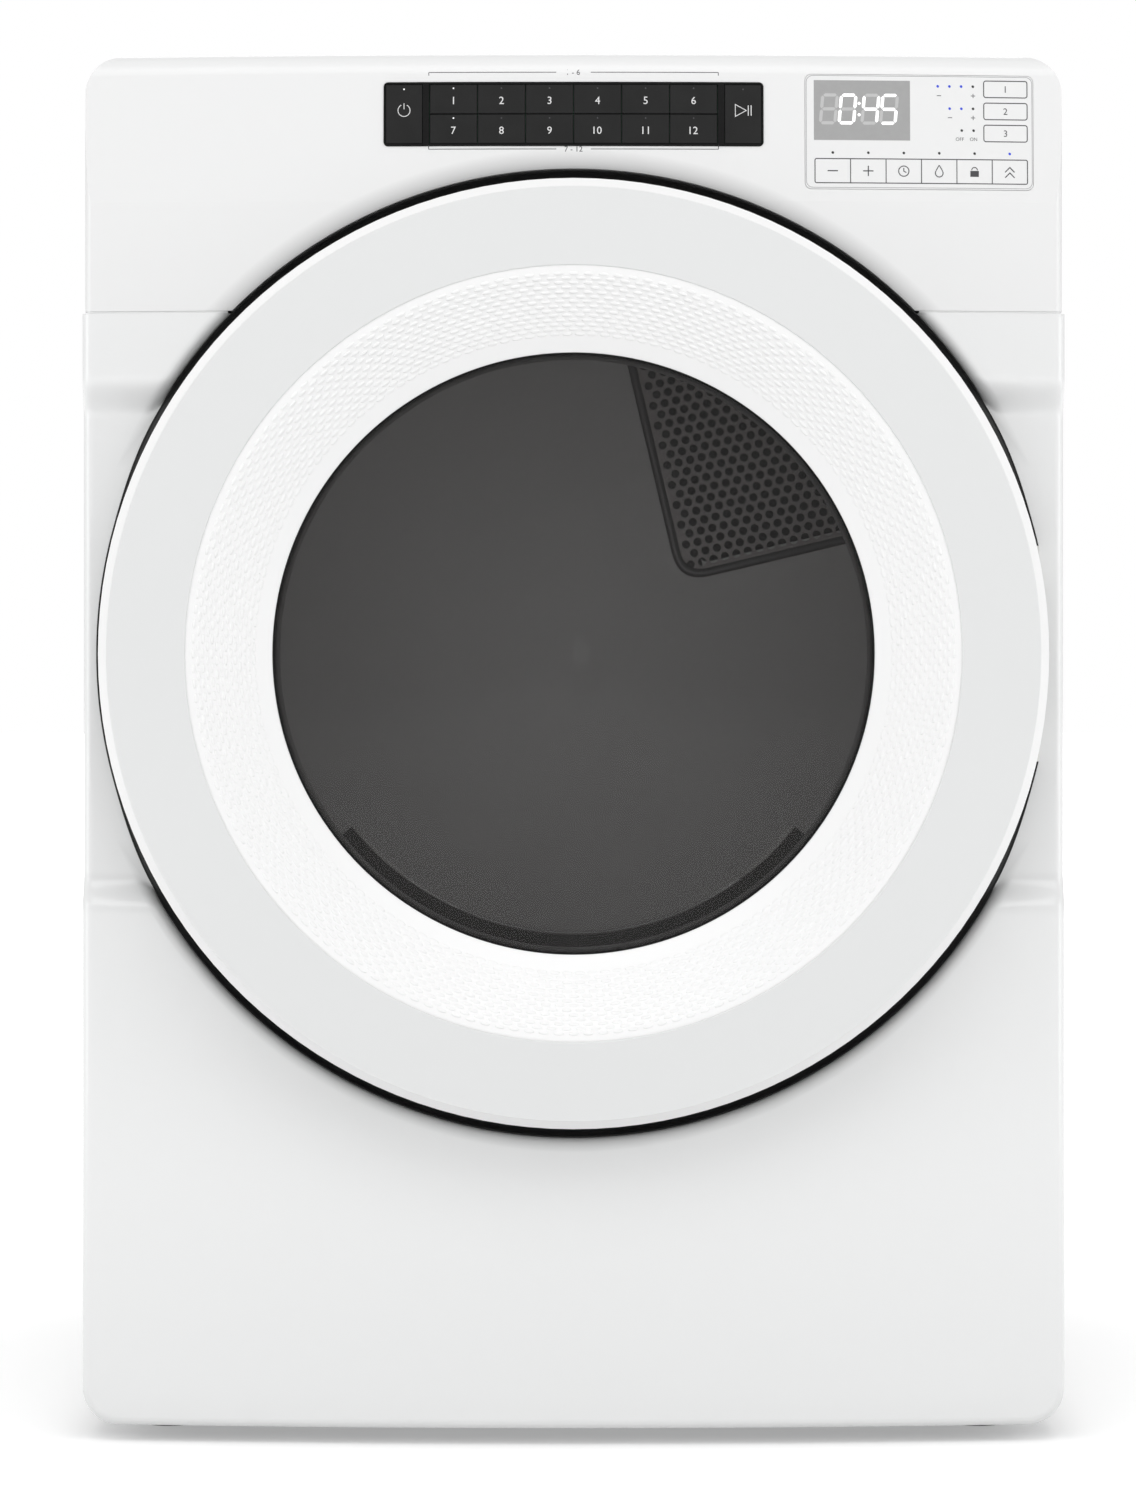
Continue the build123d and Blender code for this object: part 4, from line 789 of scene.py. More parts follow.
for number, name in enumerate(cycle_keys, 1):
    legend, (x, z) = Stencil(), key_middle(name)
    legend.words(str(number), (x, z - 1.0), 5.2)
    legend.press(f"{name}_legend", [name], name, "key_ink")

sign_z, sign, x = 2.6, Stencil(), key_middle("key_power")[0]
sign.arc((x, sign_z), 4.2, 118, 422, 0.5, parts=32)
sign.line((x, sign_z + 0.8), (x, sign_z + 5.0), 0.5, 4)
sign.press("key_power_legend", ["key_power"], "key_power", "key_ink")

sign, x = Stencil(), key_middle("key_start")[0]
sign.strip([(x - 5.4, sign_z - 4.2), (x + 2.2, sign_z), (x - 5.4, sign_z + 4.2)], 0.5, closed=True)
for bar in (3.6, 5.6):
    sign.line((x + bar, sign_z - 3.6), (x + bar, sign_z + 3.6), 0.6, 4)
sign.press("key_start_legend", ["key_start"], "key_start", "key_ink")
print("key legends: 14")

# %% [markdown]
# ### Indicator lights on the keys
#
# Above each legend sits a light window about a millimetre across. Fourteen of the same thing in a
# row is work for Geometry Nodes: one tree puts a low dome on every point it is given.
# The points are found with rays, the sizes are the tree's named inputs.


# %% A tree that puts a dome on every point
class Tree(Recipe):
    """A Geometry Nodes tree with named inputs, and the way to run it on a mesh."""

    family = "GeometryNode"

    def __init__(self, name, **inputs):
        super().__init__(bpy.data.node_groups.new(name, "GeometryNodeTree"))
        sockets = self.tree.interface
        sockets.new_socket(name="Geometry", in_out="OUTPUT", socket_type="NodeSocketGeometry")
        self.keys = {}
        for label, kind in {"Geometry": "Geometry", **inputs}.items():
            made = sockets.new_socket(name=label, in_out="INPUT", socket_type=f"NodeSocket{kind}")
            self.keys[label] = made.identifier
        self.entry = self.tree.nodes.new("NodeGroupInput")
        self.exit = self.tree.nodes.new("NodeGroupOutput")

    def given(self, label):
        return Value(self, self.entry.outputs[label])

    def end(self, geometry):
        whole = self.add("RealizeInstances", {0: geometry})
        dressed = self.add("SetMaterial", {0: whole, "Material": self.given("Finish")})
        self.join(dressed, self.exit.inputs[0])

    def run(self, mesh, **values):
        """Evaluates the tree on a mesh and returns the result as a plain mesh."""
        keys = {self.keys[label]: value for label, value in values.items()}
        return modified(mesh, "NODES", {"node_group": self.tree}, keys)


domes = Tree("domes", Radius="Float", Height="Float", Finish="Material")
dome = domes.add("MeshUVSphere", {"Segments": 16, "Rings": 8, "Radius": domes.given("Radius")})
flat = domes.given("Height") / domes.given("Radius")
dome = domes.add("Transform", {0: dome, "Scale": domes.combine(1.0, flat, 1.0)})
spots = domes.add("MeshToPoints", {0: domes.given("Geometry")})
domes.end(domes.add("InstanceOnPoints", {"Points": spots, "Instance": dome}))
print("tree:", domes.tree.name, "inputs:", list(domes.keys))

# %% Light windows
def lamps(name, spots, body, slot, radius):
    values = {"Radius": radius, "Height": 0.15 * MM, "Finish": finishes[slot].material}
    piece(name, domes.run(mesh_of("spots", spots), **values), body, slot)


lit = {"key_cycle_1", "key_cycle_7", "key_power"}
for name in cycle_keys + ["key_power", "key_start"]:
    x, z = key_middle(name)[0] * MM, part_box(name)[1].z - (2.6 if "cycle" in name else 3.2) * MM
    slot = "lit_white" if name in lit else "grey_ink"
    lamps(f"{name}_lamp", [(x, touch([name], x, z), z)], name, slot, 0.55 * MM)
print("lamps: 14")

# %% [markdown]
# ### Marks on the console face
#
# Two brackets tie the keys' rows together above and below the strip. At the right a thin frame
# holds the display, three outlined keys with their rows of lights, and a strip of six keys. The
# words that such consoles carry are left off: plain signs and numbers take their places.

# %% Brackets round the key strip
face = ["console_fascia", "control_overlay"]
brackets = Stencil()
for z, tick in ((29.2, -2.2), (-24.5, 2.2)):
    for inner, outer in ((-12.0, -100.6), (12.0, 100.6)):
        brackets.line((inner, z), (outer, z), 0.5, 24)
        brackets.line((outer, z), (outer, z + tick), 0.5, 2)
brackets.words("1 - 6", (0, 29.2), 3.8)
brackets.words("7 - 12", (0, -24.5), 3.8)
brackets.press("console_brackets", face, "cabinet", "grey_ink")

# %% The display and its frame
frame_line = Stencil()
frame_line.outline((161.7, 319.8), (-50.8, 27.4), 4.5, 0.45)
frame_line.press("display_frame_line", face, "cabinet", "pale_ink")
panel, (left, right), (low, high) = Stencil(), (167.0, 234.2), (-17.7, 24.2)
across = [left + (right - left) * column / 12 for column in range(13)]
upward = [low + (high - low) * row / 8 for row in range(9)]
for x0, x1 in zip(across, across[1:]):
    for z0, z1 in zip(upward, upward[1:]):
        panel.face([(x0, z0), (x1, z0), (x1, z1), (x0, z1)])
panel.press("display_panel", face, "cabinet", "display_grey", 0.05)
print("display panel:", round(right - left, 1), "by", round(high - low, 1), "mm")

# %% [markdown]
# #### Seven-segment digits
#
# Each digit is seven small bars. The bars that are on are white; the ones that are off still show
# as faint ghosts, as they do behind real display glass. The colon is two dots.


# %% Digits
def bars(stencil, middle, tall, which):
    """Draws the bars named in which, from a at the top round to g in the middle."""
    half_w, half_h, bar, slant = tall * 0.26, tall / 2, tall * 0.115, 0.09
    ends = {
        "a": ((-1, 1), (1, 1)), "b": ((1, 1), (1, 0)), "c": ((1, 0), (1, -1)), "d": ((-1, -1), (1, -1)),
        "e": ((-1, 0), (-1, -1)), "f": ((-1, 1), (-1, 0)), "g": ((-1, 0), (1, 0)),
    }
    for key in which:
        start, end = (Vector((x * half_w, z * half_h)) for x, z in ends[key])
        run = (end - start).normalized()
        square = Vector((-run.y, run.x)) * bar / 2
        start, end = start + run * bar * 0.65, end - run * bar * 0.65
        tips = [start - run * bar / 2, start + square, end + square]
        tips += [end + run * bar / 2, end - square, start - square]
        stencil.face([(middle[0] + p.x + p.y * slant, middle[1] + p.y) for p in tips])


segments = {"0": "abcdef", "4": "bcfg", "5": "acdfg", "": ""}
digit_tall, digit_z = 19.5, 4.1
on, off = Stencil(), Stencil()
for x, digit in ((177.5, ""), (190.5, "0"), (206.5, "4"), (219.5, "5")):
    bars(on, (x, digit_z), digit_tall, segments[digit])
    bars(off, (x, digit_z), digit_tall, [key for key in "abcdefg" if key not in segments[digit]])
for z in (digit_z - 4, digit_z + 4):
    on.disc((198.6, z), 1.1, 12)
learn("display_panel", bpy.data.objects["display_panel"].data)
on.press("display_digits", ["display_panel"], "cabinet", "lit_white")
off.press("display_ghosts", ["display_panel"], "cabinet", "display_ghost", 0.02)
print("digits ready")

# %% Outlined keys, the six-key strip and their signs
strokes = Stencil()
key_tops = (24.6, 9.1, -6.4)
for number, high in enumerate(key_tops, 1):
    strokes.outline((285.9, 316.4), (high - 11.6, high), 1.6, 0.7)
    strokes.words(str(number), (301.1, high - 5.8), 4.6)
(left, right), (low, high) = (167.7, 316.4), (-47.6, -30.7)
strokes.outline((left, right), (low, high), 1.2, 0.7)
cell = (right - left) / 6
for divider in range(1, 6):
    strokes.line((left + cell * divider, low), (left + cell * divider, high), 0.65, 4)
middles = [left + cell * (index + 0.5) for index in range(6)]
minus, plus, clock, drop, lock, arrows = middles
z = (low + high) / 2


def dash(x, z, half, wide, gap=None, parts=2):
    """A minus, or with a gap a plus whose upright leaves the bar free."""
    strokes.line((x - half, z), (x + half, z), wide, parts)
    for side in (-1, 1) if gap else ():
        strokes.line((x, z + side * half), (x, z + side * gap), wide, parts)


dash(minus, z, 3.6, 0.8)
dash(plus, z, 3.6, 0.8, 0.4)
strokes.arc((clock, z), 3.6, 0, 360, 0.7, 24, True)
strokes.strip([(clock, z + 2.3), (clock, z), (clock + 1.8, z - 1.0)], 0.7)
strokes.arc((drop, z - 1.2), 2.7, -215, 35, 0.7, 18)
for side in (-1, 1):
    strokes.line((drop + side * 2.25, z + 0.5), (drop, z + 4.4), 0.65, 2)
strokes.face([(lock + x, z + up) for x, up in ((-3.0, -3.6), (3.0, -3.6), (3.0, 0.6), (-3.0, 0.6))])
strokes.arc((lock, z + 1.0), 2.0, 0, 180, 0.65, 14)
for lift in (0.4, -3.4):
    strokes.strip([(arrows + x, z + lift + up) for x, up in ((-3.3, -0.6), (0, 2.8), (3.3, -0.6))], 0.75)
for x, z, gap in ((254.5, 14.0, None), (278.4, 14.0, 0.25), (262.2, -1.4, None), (278.4, -1.4, 0.25)):
    dash(x, z, 1.5, 0.5, gap, 1)
strokes.words("OFF", (269.0, -16.4), 2.4)
strokes.words("ON", (278.6, -16.4), 2.4)
strokes.press("console_signs", face, "cabinet", "grey_ink")

# %% Lights beside the display
lights = {
    "lit_blue": [(253.6, 20.5), (261.8, 20.5), (270.0, 20.5), (261.9, 4.9), (270.1, 4.9), (303.9, -26.5)],
    "black_ink": [(278.2, 20.5), (278.3, 4.9), (270.3, -10.4), (278.6, -10.4)]
    + [(x, -26.5) for x in middles[:5]],
}
for slot, places in lights.items():
    levels = [(x * MM, (z + strip_z) * MM) for x, z in places]
    spots = [(x, touch(face, x, z), z) for x, z in levels]
    lamps(f"console_{slot}_lights", spots, "cabinet", slot, 1.0 * MM)
print("console lights:", sum(len(places) for places in lights.values()))

# %% [markdown]
# ## The dimpled dish
#
# The cone between the rim and the window is covered with small raised lozenges, longer round the
# dish than across it, in rows that are staggered like bricks and fade out towards the window. The
# rows follow a rule, so Geometry Nodes lay them: each point's number gives its row and its place
# in the row, a ray drops it onto the dish, and the lozenge turns to lie along the circle.

# %% Lay the lozenges
dish_low, dish_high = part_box("door_dish_ring")
dish = Tree(
    "dish lozenges", Surface="Object", Middle="Vector", Outer="Float", Step="Float", Around="Int",
    Rows="Int", Long="Float", Wide="Float", High="Float", Finish="Material",
)
around, rows = dish.given("Around"), dish.given("Rows")
number = dish.add("InputIndex")
row = (number / around).math("FLOOR")
column = number - row * around
turn = (column + row.math("MODULO", 2.0) / 2) * math.tau / around
radius = dish.given("Outer") - row * dish.given("Step")
arm = dish.combine(turn.math("COSINE") * radius, 0, turn.math("SINE") * radius)
above = arm.vector("ADD", dish.given("Middle"))
points = dish.add("Points", {"Count": around * rows, "Position": above})
target = dish.add("ObjectInfo", {"Object": dish.given("Surface")}, output="Geometry")
where = dish.add("InputPosition")
ray = {"Target Geometry": target, "Source Position": where, "Ray Direction": (0, 1, 0), "Ray Length": 1.0}
ray = dish.add("Raycast", ray, output="Hit Position")
points = dish.add("SetPosition", {"Geometry": points, "Position": ray})
align = "FunctionNodeAlignRotationToVector"
upright = dish.add(align, {"Vector": ray.other("Hit Normal")}, {"axis": "Z"})
tangent = dish.combine(0 - turn.math("SINE"), 0, turn.math("COSINE"))
lying = dish.add(align, {"Rotation": upright, "Vector": tangent}, {"axis": "X", "pivot_axis": "Z"})
lozenge = dish.add("MeshUVSphere", {"Segments": 10, "Rings": 6, "Radius": 0.5})
size = dish.combine(*(dish.given(side) for side in ("Long", "Wide", "High")))
lozenge = dish.add("Transform", {0: lozenge, "Scale": size})
fade = 1 - (row / rows).math("POWER", 2.0) * 0.75
laid = {"Points": points, "Instance": lozenge, "Rotation": lying, "Scale": dish.combine(1.0, 1.0, fade)}
dish.end(dish.add("InstanceOnPoints", laid))

values = {
    "Surface": nodes["door_dish_ring"], "Middle": (door_x, dish_low.y - 0.05, door_z),
    "Outer": (dish_high.z - dish_low.z) / 2 - 11.5 * MM, "Step": 3.1 * MM, "Around": 160, "Rows": 14,
    "Long": 7.0 * MM, "Wide": 2.7 * MM, "High": 1.0 * MM, "Finish": finishes["dish_white"].material,
}
lozenges = dish.run(mesh_of("seed", [(0, 0, 0)]), **values)
piece("door_dish_lozenges", lozenges, "door", "dish_white")
print("lozenges:", values["Around"] * values["Rows"], "faces:", len(lozenges.polygons))

# %% [markdown]
# ## The black line round the window
#
# A thin bead of black sealant holds the pane in the dish and shows as a fine dark line. Behind the
# pane's edge a grey seal hides the ledge that the pane sits on. Both are turned round the door's
# axis.

# %% Window bead and seal
bead_r, bead_y = glass_radius + 0.1 * MM, glass_high.y - 4.2 * MM
turns = [math.tau * part / 10 for part in range(10)]
bead = [(bead_r + 0.75 * MM * math.cos(turn), bead_y + 0.6 * MM * math.sin(turn)) for turn in turns]
piece("door_window_bead", lathe("door_window_bead", bead), "door", "key_black")
seal_y = touch(["door_glass"], door_x + glass_radius - 2 * MM, door_z) + 4.0 * MM
seal = [(0.4, 0.05), (0.4, 0.25), (4.2, 0.25), (4.2, 0.05)]
seal = at_depth(seal_y, *((glass_radius - inward * MM, depth) for inward, depth in seal))
piece("door_window_seal", lathe("door_window_seal", seal), "door", "seal_grey")
print("bead radius:", round(bead_r, 4))

# %% [markdown]
# ## Joints that should not read as black cracks, and one that should
#
# The dish is pressed into the rim so tightly that only a faint line is left: a white fillet closes
# it. The joint under the console gets a pale strip the same way, and above it a bare white plate
# closes the recess. The gap round the door is the opposite. There a black ring lines the recess as
# painted shade, standing in for the deep shadow of the gap, so the door seems to float on a dark
# ring. It stands tall behind the lips above and below the door and lies low where the scoops let
# the hand in, which is why its outline is measured anew at each turn. At the right it stops short
# of the hinge bracket.

# %% Fillet between the rim and the dish
dish_r = (dish_high.z - dish_low.z) / 2
step_r = dish_r - 6 * MM
fillet = [(-0.9, 0.35), (0.7, 0.25), (0.7, 3.0), (-0.9, 3.0)]
fillet = at_depth(dish_low.y, *((step_r + outward * MM, depth) for outward, depth in fillet))
piece("door_rim_fillet", lathe("door_rim_fillet", fillet), "door", "dish_white")
print("dish radius:", round(dish_r, 4), "step:", round(step_r, 4))

# %% Black ring of painted shade in the recess
fascia_low, fascia_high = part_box("console_fascia")
seam_z, back_edge, low_until, rising = fascia_low.z, recess_r - 26 * MM, 0.09, 0.08


def gasket(turn):
    lip_r = recess_r + lip_round
    x, z = door_x + lip_r * math.cos(turn), door_z + lip_r * math.sin(turn)
    lip_y = touch(["console_fascia"], x, z) if z > seam_z else front_depth(x, z)
    share, floor = soft((abs(z - door_z) - low_until) / rising), recess_y - 0.8 * MM
    outer = recess_r - 0.1 * MM - (1 - share) * 2.6 * MM
    wall, rise = outer - 0.6 * MM, share * max(0.0, recess_y - lip_y - 8.5 * MM)
    return [
        (wall, floor - 0.2 * MM - rise), (outer, floor - 0.2 * MM - rise), (outer, recess_y - 0.1 * MM),
        (back_edge, recess_y - 0.1 * MM), (back_edge, floor), (wall - 4 * MM, floor),
        (wall - 1.2 * MM, floor - 0.15 * rise), (wall, floor - 0.1 * MM - 0.5 * rise),
    ]


seam_turn = math.asin((seam_z - door_z) / recess_r)
turns = [seam_turn + (math.pi - 2 * seam_turn) * step / 60 for step in range(61)]
cap = slab(circle((0, 0), recess_r - 0.2 * MM, turns), recess_y, recess_y + 1.2 * MM)
piece("console_recess_floor", loft("cap", cap), "cabinet", "console_white", smooth=False)
# A black ring in the rubber finish stands in for the shadow in the gap round the door: painted shade.
piece("recess_gasket", lathe("recess_gasket", gasket, 13, 347, 334), "cabinet", "black_rubber")
print("recess floor at", round(recess_y, 4))

# %% Pale strip in the joint under the console
seam_start = math.sqrt(recess_r**2 - (seam_z - door_z) ** 2) + 3 * MM
seam_end = (fascia_high.x - fascia_low.x) / 2 - 1.5 * MM
for side, name in ((-1, "console_seam_left"), (1, "console_seam_right")):
    rows = []
    for part in range(31):
        x = side * (seam_start + (seam_end - seam_start) * (1 - (1 - part / 30) ** 2))
        y = touch(["console_fascia"], x, seam_z + 2 * MM) + 0.7 * MM
        corners = ((y, 0.3), (y, -1.8), (y + 1.2 * MM, -1.8), (y + 1.2 * MM, 0.3))
        rows.append([(x, depth, seam_z + z * MM) for depth, z in corners])
    piece(name, loft("seam", rows), "cabinet", "painted_white")
print("seam strip from", round(seam_start, 4), "at height", round(seam_z, 4))

# %% [markdown]
# ## The perforated air grille
#
# Hot air enters the drum through a pressed plate with several hundred small round holes. The solid
# has coarse openings in its place. The fine plate is a flat sheet from which Geometry Nodes cut a
# staggered field of punches: a Boolean is the right tool, because every hole keeps its wall.

# %% Outline of the plate
grille_low, grille_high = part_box("rear_air_grille")
lean = math.radians(13.3)
rightward, leftward = Vector((math.cos(lean), math.sin(lean))), Vector((-math.sin(lean), math.cos(lean)))
plate_corner = Vector((87.0, 58.0)) * MM
plate_arc = 292.0 * MM


def to_arc(start, way, radius):
    """How far it is from a point to the plate's arc."""
    along = start.dot(way)
    return math.sqrt(along**2 - start.dot(start) + radius**2) - along


def plate_outline(inset, bend=26 * MM, parts=10):
    """Points round the plate, drawn in, relative to the drum's middle."""
    radius = plate_arc - inset
    corner = plate_corner + (leftward + rightward) * inset
    ends = [corner + way * to_arc(corner, way, radius) for way in (rightward, leftward)]
    start, end = (math.atan2(point.y, point.x) for point in ends)
    loop = [corner, *circle((0, 0), radius, [start + (end - start) * part / 40 for part in range(41)])]
    points = []
    for index, point in enumerate(loop):
        if index not in (0, 1, len(loop) - 1):
            points.append(point)
            continue
        arms = [loop[index - 1] - point, loop[(index + 1) % len(loop)] - point]
        reach = min(bend, 6 * MM + inset) - inset if index else bend - inset
        first, last = (point + arm.normalized() * reach for arm in arms)
        for share in (part / parts for part in range(parts + 1)):
            points.append(first.lerp(point, share).lerp(point.lerp(last, share), share))
    return points


sheet_mesh = loft("plate", slab(plate_outline(5 * MM), grille_high.y - 2.4 * MM, grille_high.y - 1.2 * MM))
print("plate points:", len(sheet_mesh.vertices))

# %% Punch the holes
punched = Tree(
    "punched plate", Corner="Vector", Rightward="Vector", Leftward="Vector", Middle="Vector", Pitch="Float",
    Hole="Float", Edge="Float", Reach="Float", Columns="Int", Finish="Material",
)
number = punched.add("InputIndex")
columns, pitch = punched.given("Columns"), punched.given("Pitch")
row = (number / columns).math("FLOOR")
column = number - row * columns + row.math("MODULO", 2.0) / 2
step_right = punched.given("Rightward").scaled(column * pitch + punched.given("Edge"))
step_left = punched.given("Leftward").scaled(row * pitch * math.sin(math.pi / 3) + punched.given("Edge"))
offset = punched.given("Corner").vector("ADD", step_right).vector("ADD", step_left)
centre = offset.vector("ADD", punched.given("Middle"))
grid = punched.add("Points", {"Count": columns * columns, "Position": centre})
away = punched.add("InputPosition").vector("DISTANCE", punched.given("Middle"), "Value")
outside = away.math("GREATER_THAN", punched.given("Reach"))
grid = punched.add("DeleteGeometry", {0: grid, "Selection": outside}, {"domain": "POINT"})
punch = {"Vertices": 12, "Radius": punched.given("Hole"), "Depth": 0.02}
punch = punched.add("MeshCylinder", punch)
punch = punched.add("Transform", {0: punch, "Rotation": (math.pi / 2, 0, 0)})
punches = punched.add("InstanceOnPoints", {"Points": grid, "Instance": punch})
punches = punched.add("RealizeInstances", {0: punches})
cut = punched.add("MeshBoolean", {}, {"operation": "DIFFERENCE", "solver": "MANIFOLD"})
punched.join(punched.given("Geometry"), cut.socket.node.inputs["Mesh 1"])
punched.join(punches, cut.socket.node.inputs["Mesh 2"])
punched.end(cut)

values = {
    "Corner": (plate_corner.x, 0, plate_corner.y), "Rightward": (rightward.x, 0, rightward.y),
    "Leftward": (leftward.x, 0, leftward.y), "Middle": (door_x, grille_high.y, door_z),
    "Pitch": 9.7 * MM, "Hole": 3.5 * MM, "Edge": 13.0 * MM, "Reach": plate_arc - 13 * MM, "Columns": 26,
    "Finish": finishes["grille_steel"].material,
}
perforated = punched.run(sheet_mesh, **values)
plate = piece("air_grille_plate", perforated, "cabinet", "grille_steel", smooth=False)
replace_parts(plate, "rear_air_grille")
print("perforated plate faces:", len(perforated.polygons))

# %% Strips of painted shade behind the plate's edges
solid_corner = Vector((107.0, 71.0)) * MM
opening = solid_corner - plate_corner
open_x, open_z = opening.dot(rightward), opening.dot(leftward)


def at_edge(across, along):
    """A point of the plate in its own leaning directions; None runs on to the arc."""
    start = plate_corner + rightward * (across or 0) + leftward * (along or 0)
    if None not in (across, along):
        return start
    way = leftward if along is None else rightward
    return start + way * to_arc(start, way, plate_arc - 9 * MM)


near, cut_off, back = 1.5 * MM, 16 * MM, (grille_high.y - 1.1 * MM, grille_high.y - 0.1 * MM)
upright = ((near, cut_off), (cut_off, near), (open_x, near), (open_x, None), (near, None))
lying = ((open_x, near), (None, near), (None, open_z), (open_x, open_z))
strips = [slab([at_edge(*place) for place in places], *back) for places in (upright, lying)]
# The near-black strips behind the plate's edges are painted shade.
piece("air_grille_backing", loft("shade_strips", *strips), "cabinet", "heater_dark", smooth=False)
print("opening from the plate's corner:", round(open_x, 4), round(open_z, 4))

# %% Raised frame round the plate
outer, inner = plate_outline(0), plate_outline(7 * MM)
crest = [a.lerp(b, 0.5) for a, b in zip(outer, inner)]
levels = ((outer, grille_high.y), (outer, grille_low.y + 1 * MM), (crest, grille_low.y))
levels += ((inner, grille_low.y + 1 * MM), (inner, grille_high.y))
rows = [level(loop, depth) for loop, depth in levels]
piece("air_grille_frame", loft("air_grille_frame", rows, ring=True), "cabinet", "motor_black")
print("frame ring points:", len(outer))

# %% [markdown]
# ## Screws
#
# The case is held by hexagon washer-head screws. One tree builds the head from a low round flange
# and a six-sided body and sets it on every point, turned to face the way it is told.

# %% Screw heads
screws = Tree("screws", Facing="Rotation", Across="Float", Tall="Float", Flange="Float", Finish="Material")
tall, flange_r = screws.given("Tall"), screws.given("Flange")
corner_r = screws.given("Across") / 2 / math.cos(math.pi / 6)
hexagon = screws.add("MeshCylinder", {"Vertices": 6, "Radius": corner_r, "Depth": tall})
hexagon = screws.add("Transform", {0: hexagon, "Translation": screws.combine(0, 0, tall / 2)})
flange = {"Vertices": 20, "Radius Top": flange_r * 0.85, "Radius Bottom": flange_r, "Depth": tall * 0.3}
flange = screws.add("MeshCone", flange)
head = screws.add("JoinGeometry")
screws.join(hexagon, head.socket.node.inputs[0])
screws.join(flange, head.socket.node.inputs[0])
seats = screws.add("MeshToPoints", {0: screws.given("Geometry")})
placed = {"Points": seats, "Instance": head, "Rotation": screws.given("Facing")}
screws.end(screws.add("InstanceOnPoints", placed))


def screw_row(name, places, facing, across=6.3, tall=3.2):
    values = {
        "Facing": (facing * math.pi / 2, 0, 0), "Across": across * MM, "Tall": tall * MM,
        "Flange": across * 0.72 * MM, "Finish": finishes["zinc_steel"].material,
    }
    piece(name, screws.run(mesh_of(name, places), **values), "cabinet", "zinc_steel", smooth=False)
    print(name, len(places))


rear_low, rear_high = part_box("rear_panel")
edge, wide = 8 * MM, rear_high.x - rear_low.x
levels = [rear_low.z + edge + (rear_high.z - rear_low.z - 2 * edge) * step / 6 for step in range(7)]
rear_seats = [(x, back_y, z) for x in (rear_low.x + edge, rear_high.x - edge) for z in levels]
rear_seats += [(rear_low.x + wide * share, back_y, rear_high.z - edge) for share in (0.25, 0.5, 0.75)]
screw_row("rear_panel_screws", rear_seats, -1)
cover_low, cover_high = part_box("terminal_cover")
cover_x, cover_levels = (cover_low.x + cover_high.x) / 2, (cover_low.z + 12 * MM, cover_high.z - 12 * MM)
screw_row("terminal_cover_screws", [(cover_x, cover_high.y, z) for z in cover_levels], -1)
bracket_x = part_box("hinge_bracket")[0].x + 14 * MM
bracket_y = touch(["hinge_bracket"], bracket_x, door_z + 55 * MM)
bracket_levels = [door_z + rise * MM for rise in (-60, -20, 20, 60)]
screw_row("hinge_bracket_screws", [(bracket_x, bracket_y, z) for z in bracket_levels], 1, 5.5, 2.0)

# %% [markdown]
# ## The studio
#
# White on white needs soft light from several sides, so that each curve shades a little
# differently. The world is plain white where the camera looks and dimmer as a light, so that pale
# paint doesn't clip. The floor glows almost white far off, and near the machine it keeps a share of
# real shading, so that the shadow stays on it.

# %% Floor
ground = bpy.data.materials.new("studio_floor")
ground.use_nodes = True
ground.node_tree.nodes.clear()
floor_tree = Recipe(ground.node_tree)
spot_x, spot_y, _ = floor_tree.add("TexCoord", output="Object").parts()
far = (spot_x * spot_x + spot_y * spot_y).math("SQRT")
bright = floor_tree.add("MapRange", {0: far, 1: 0.5, 2: 2.0, 3: 0.30, 4: 1.0})
glow = floor_tree.add("Emission", {"Color": (1, 1, 1, 1), "Strength": bright})
matte = floor_tree.add("BsdfDiffuse", {"Color": (0.8, 0.8, 0.8, 1)})
seen = floor_tree.add("AddShader", {0: glow, 1: matte})
rays = floor_tree.add("LightPath", output="Is Camera Ray")
looking = rays.math("MAXIMUM", rays.other("Is Glossy Ray"))
looking = looking.math("MAXIMUM", rays.other("Is Transmission Ray"))
mixed = floor_tree.add("MixShader", {0: looking, 1: matte, 2: seen})
floor_tree.output("ShaderNodeOutputMaterial", mixed)
reach = 30.0
corners = [(x * reach, y * reach, 0) for x, y in ((-1, -1), (1, -1), (1, 1), (-1, 1))]
floor_mesh = mesh_of("floor", corners, [(0, 1, 2, 3)])
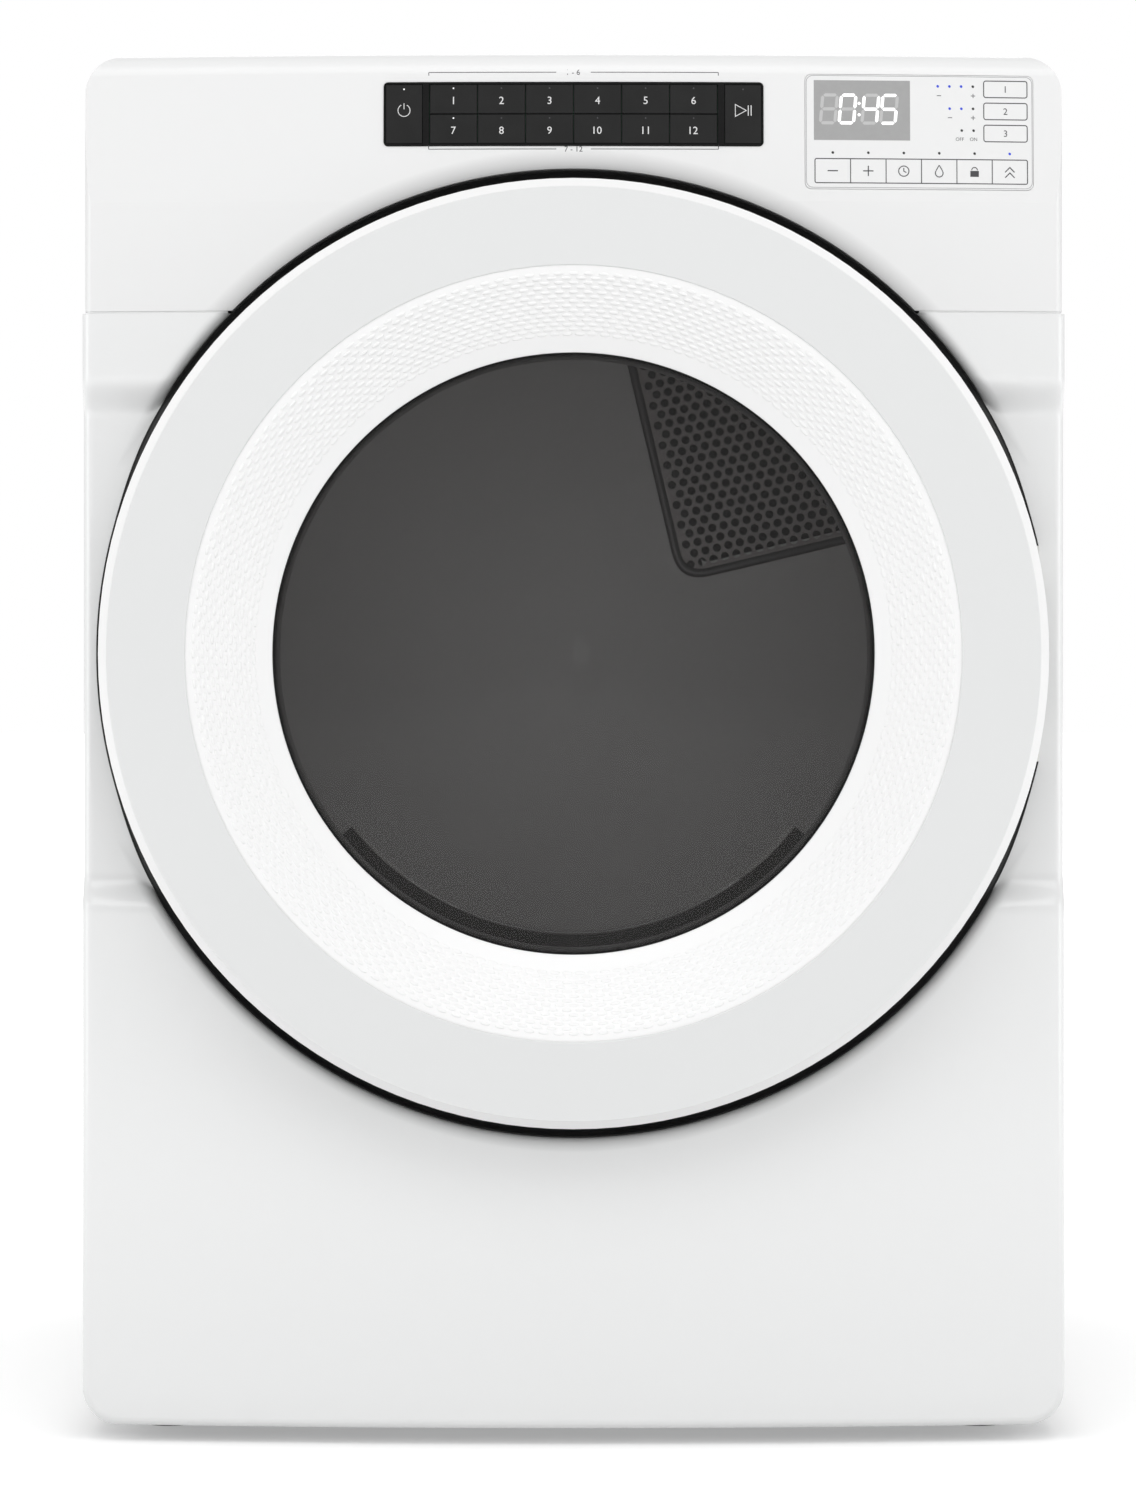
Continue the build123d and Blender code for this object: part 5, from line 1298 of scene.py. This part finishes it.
floor_mesh.materials.append(ground)
floor = bpy.data.objects.new("studio_floor", floor_mesh)
bpy.context.scene.collection.objects.link(floor)

# %% World and lamps
world = bpy.data.worlds.new("studio")
bpy.context.scene.world = world
world.use_nodes = True
world.node_tree.nodes.clear()
sky = Recipe(world.node_tree)
rays = sky.add("LightPath", output="Is Camera Ray")
looking = rays.math("MAXIMUM", rays.other("Is Transmission Ray"))
strength = sky.add("Mix", {0: looking, 2: 0.70, 3: 1.0})
backdrop = sky.add("Background", {"Color": (1, 1, 1, 1), "Strength": strength})
sky.output("ShaderNodeOutputWorld", backdrop)


def softbox(name, place, aim, wide, tall, watts):
    lamp = bpy.data.lights.new(name, "AREA")
    lamp.shape, lamp.size, lamp.size_y, lamp.energy = "RECTANGLE", wide, tall, watts
    held = bpy.data.objects.new(name, lamp)
    bpy.context.scene.collection.objects.link(held)
    held.location = place
    held.rotation_euler = (Vector(aim) - Vector(place)).to_track_quat("-Z", "Y").to_euler()
    print(name, watts, "W")


aim = (0, front_y, 0.6)
softbox("softbox_top", (0, front_y - 1.9, 2.6), aim, 2.6, 1.4, 22)
for side, name in ((-1, "softbox_left"), (1, "softbox_right")):
    softbox(name, (2.6 * side, front_y - 1.2, 0.9), aim, 1.2, 2.2, 19)
softbox("softbox_back", (0, back_y + 2.2, 2.2), (0, back_y, 0.6), 2.4, 1.6, 13)
throat_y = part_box("door_inner_window")[1].y + 0.02
softbox("drum_lamp", (door_x, throat_y, door_z), (door_x, back_y, door_z), 0.30, 0.30, 1.15)

# %% Camera
camera = bpy.data.cameras.new("camera")
camera.sensor_fit, camera.sensor_width = "AUTO", 36.0
camera.lens = 117.7
camera.shift_x, camera.shift_y = -0.0037, -0.0643
viewer = bpy.data.objects.new("camera", camera)
bpy.context.scene.collection.objects.link(viewer)
viewer.location = (0, front_y - 3.4, door_z)
viewer.rotation_euler = (math.pi / 2, 0, 0)
bpy.context.scene.camera = viewer
bpy.context.scene.view_settings.view_transform = "Standard"
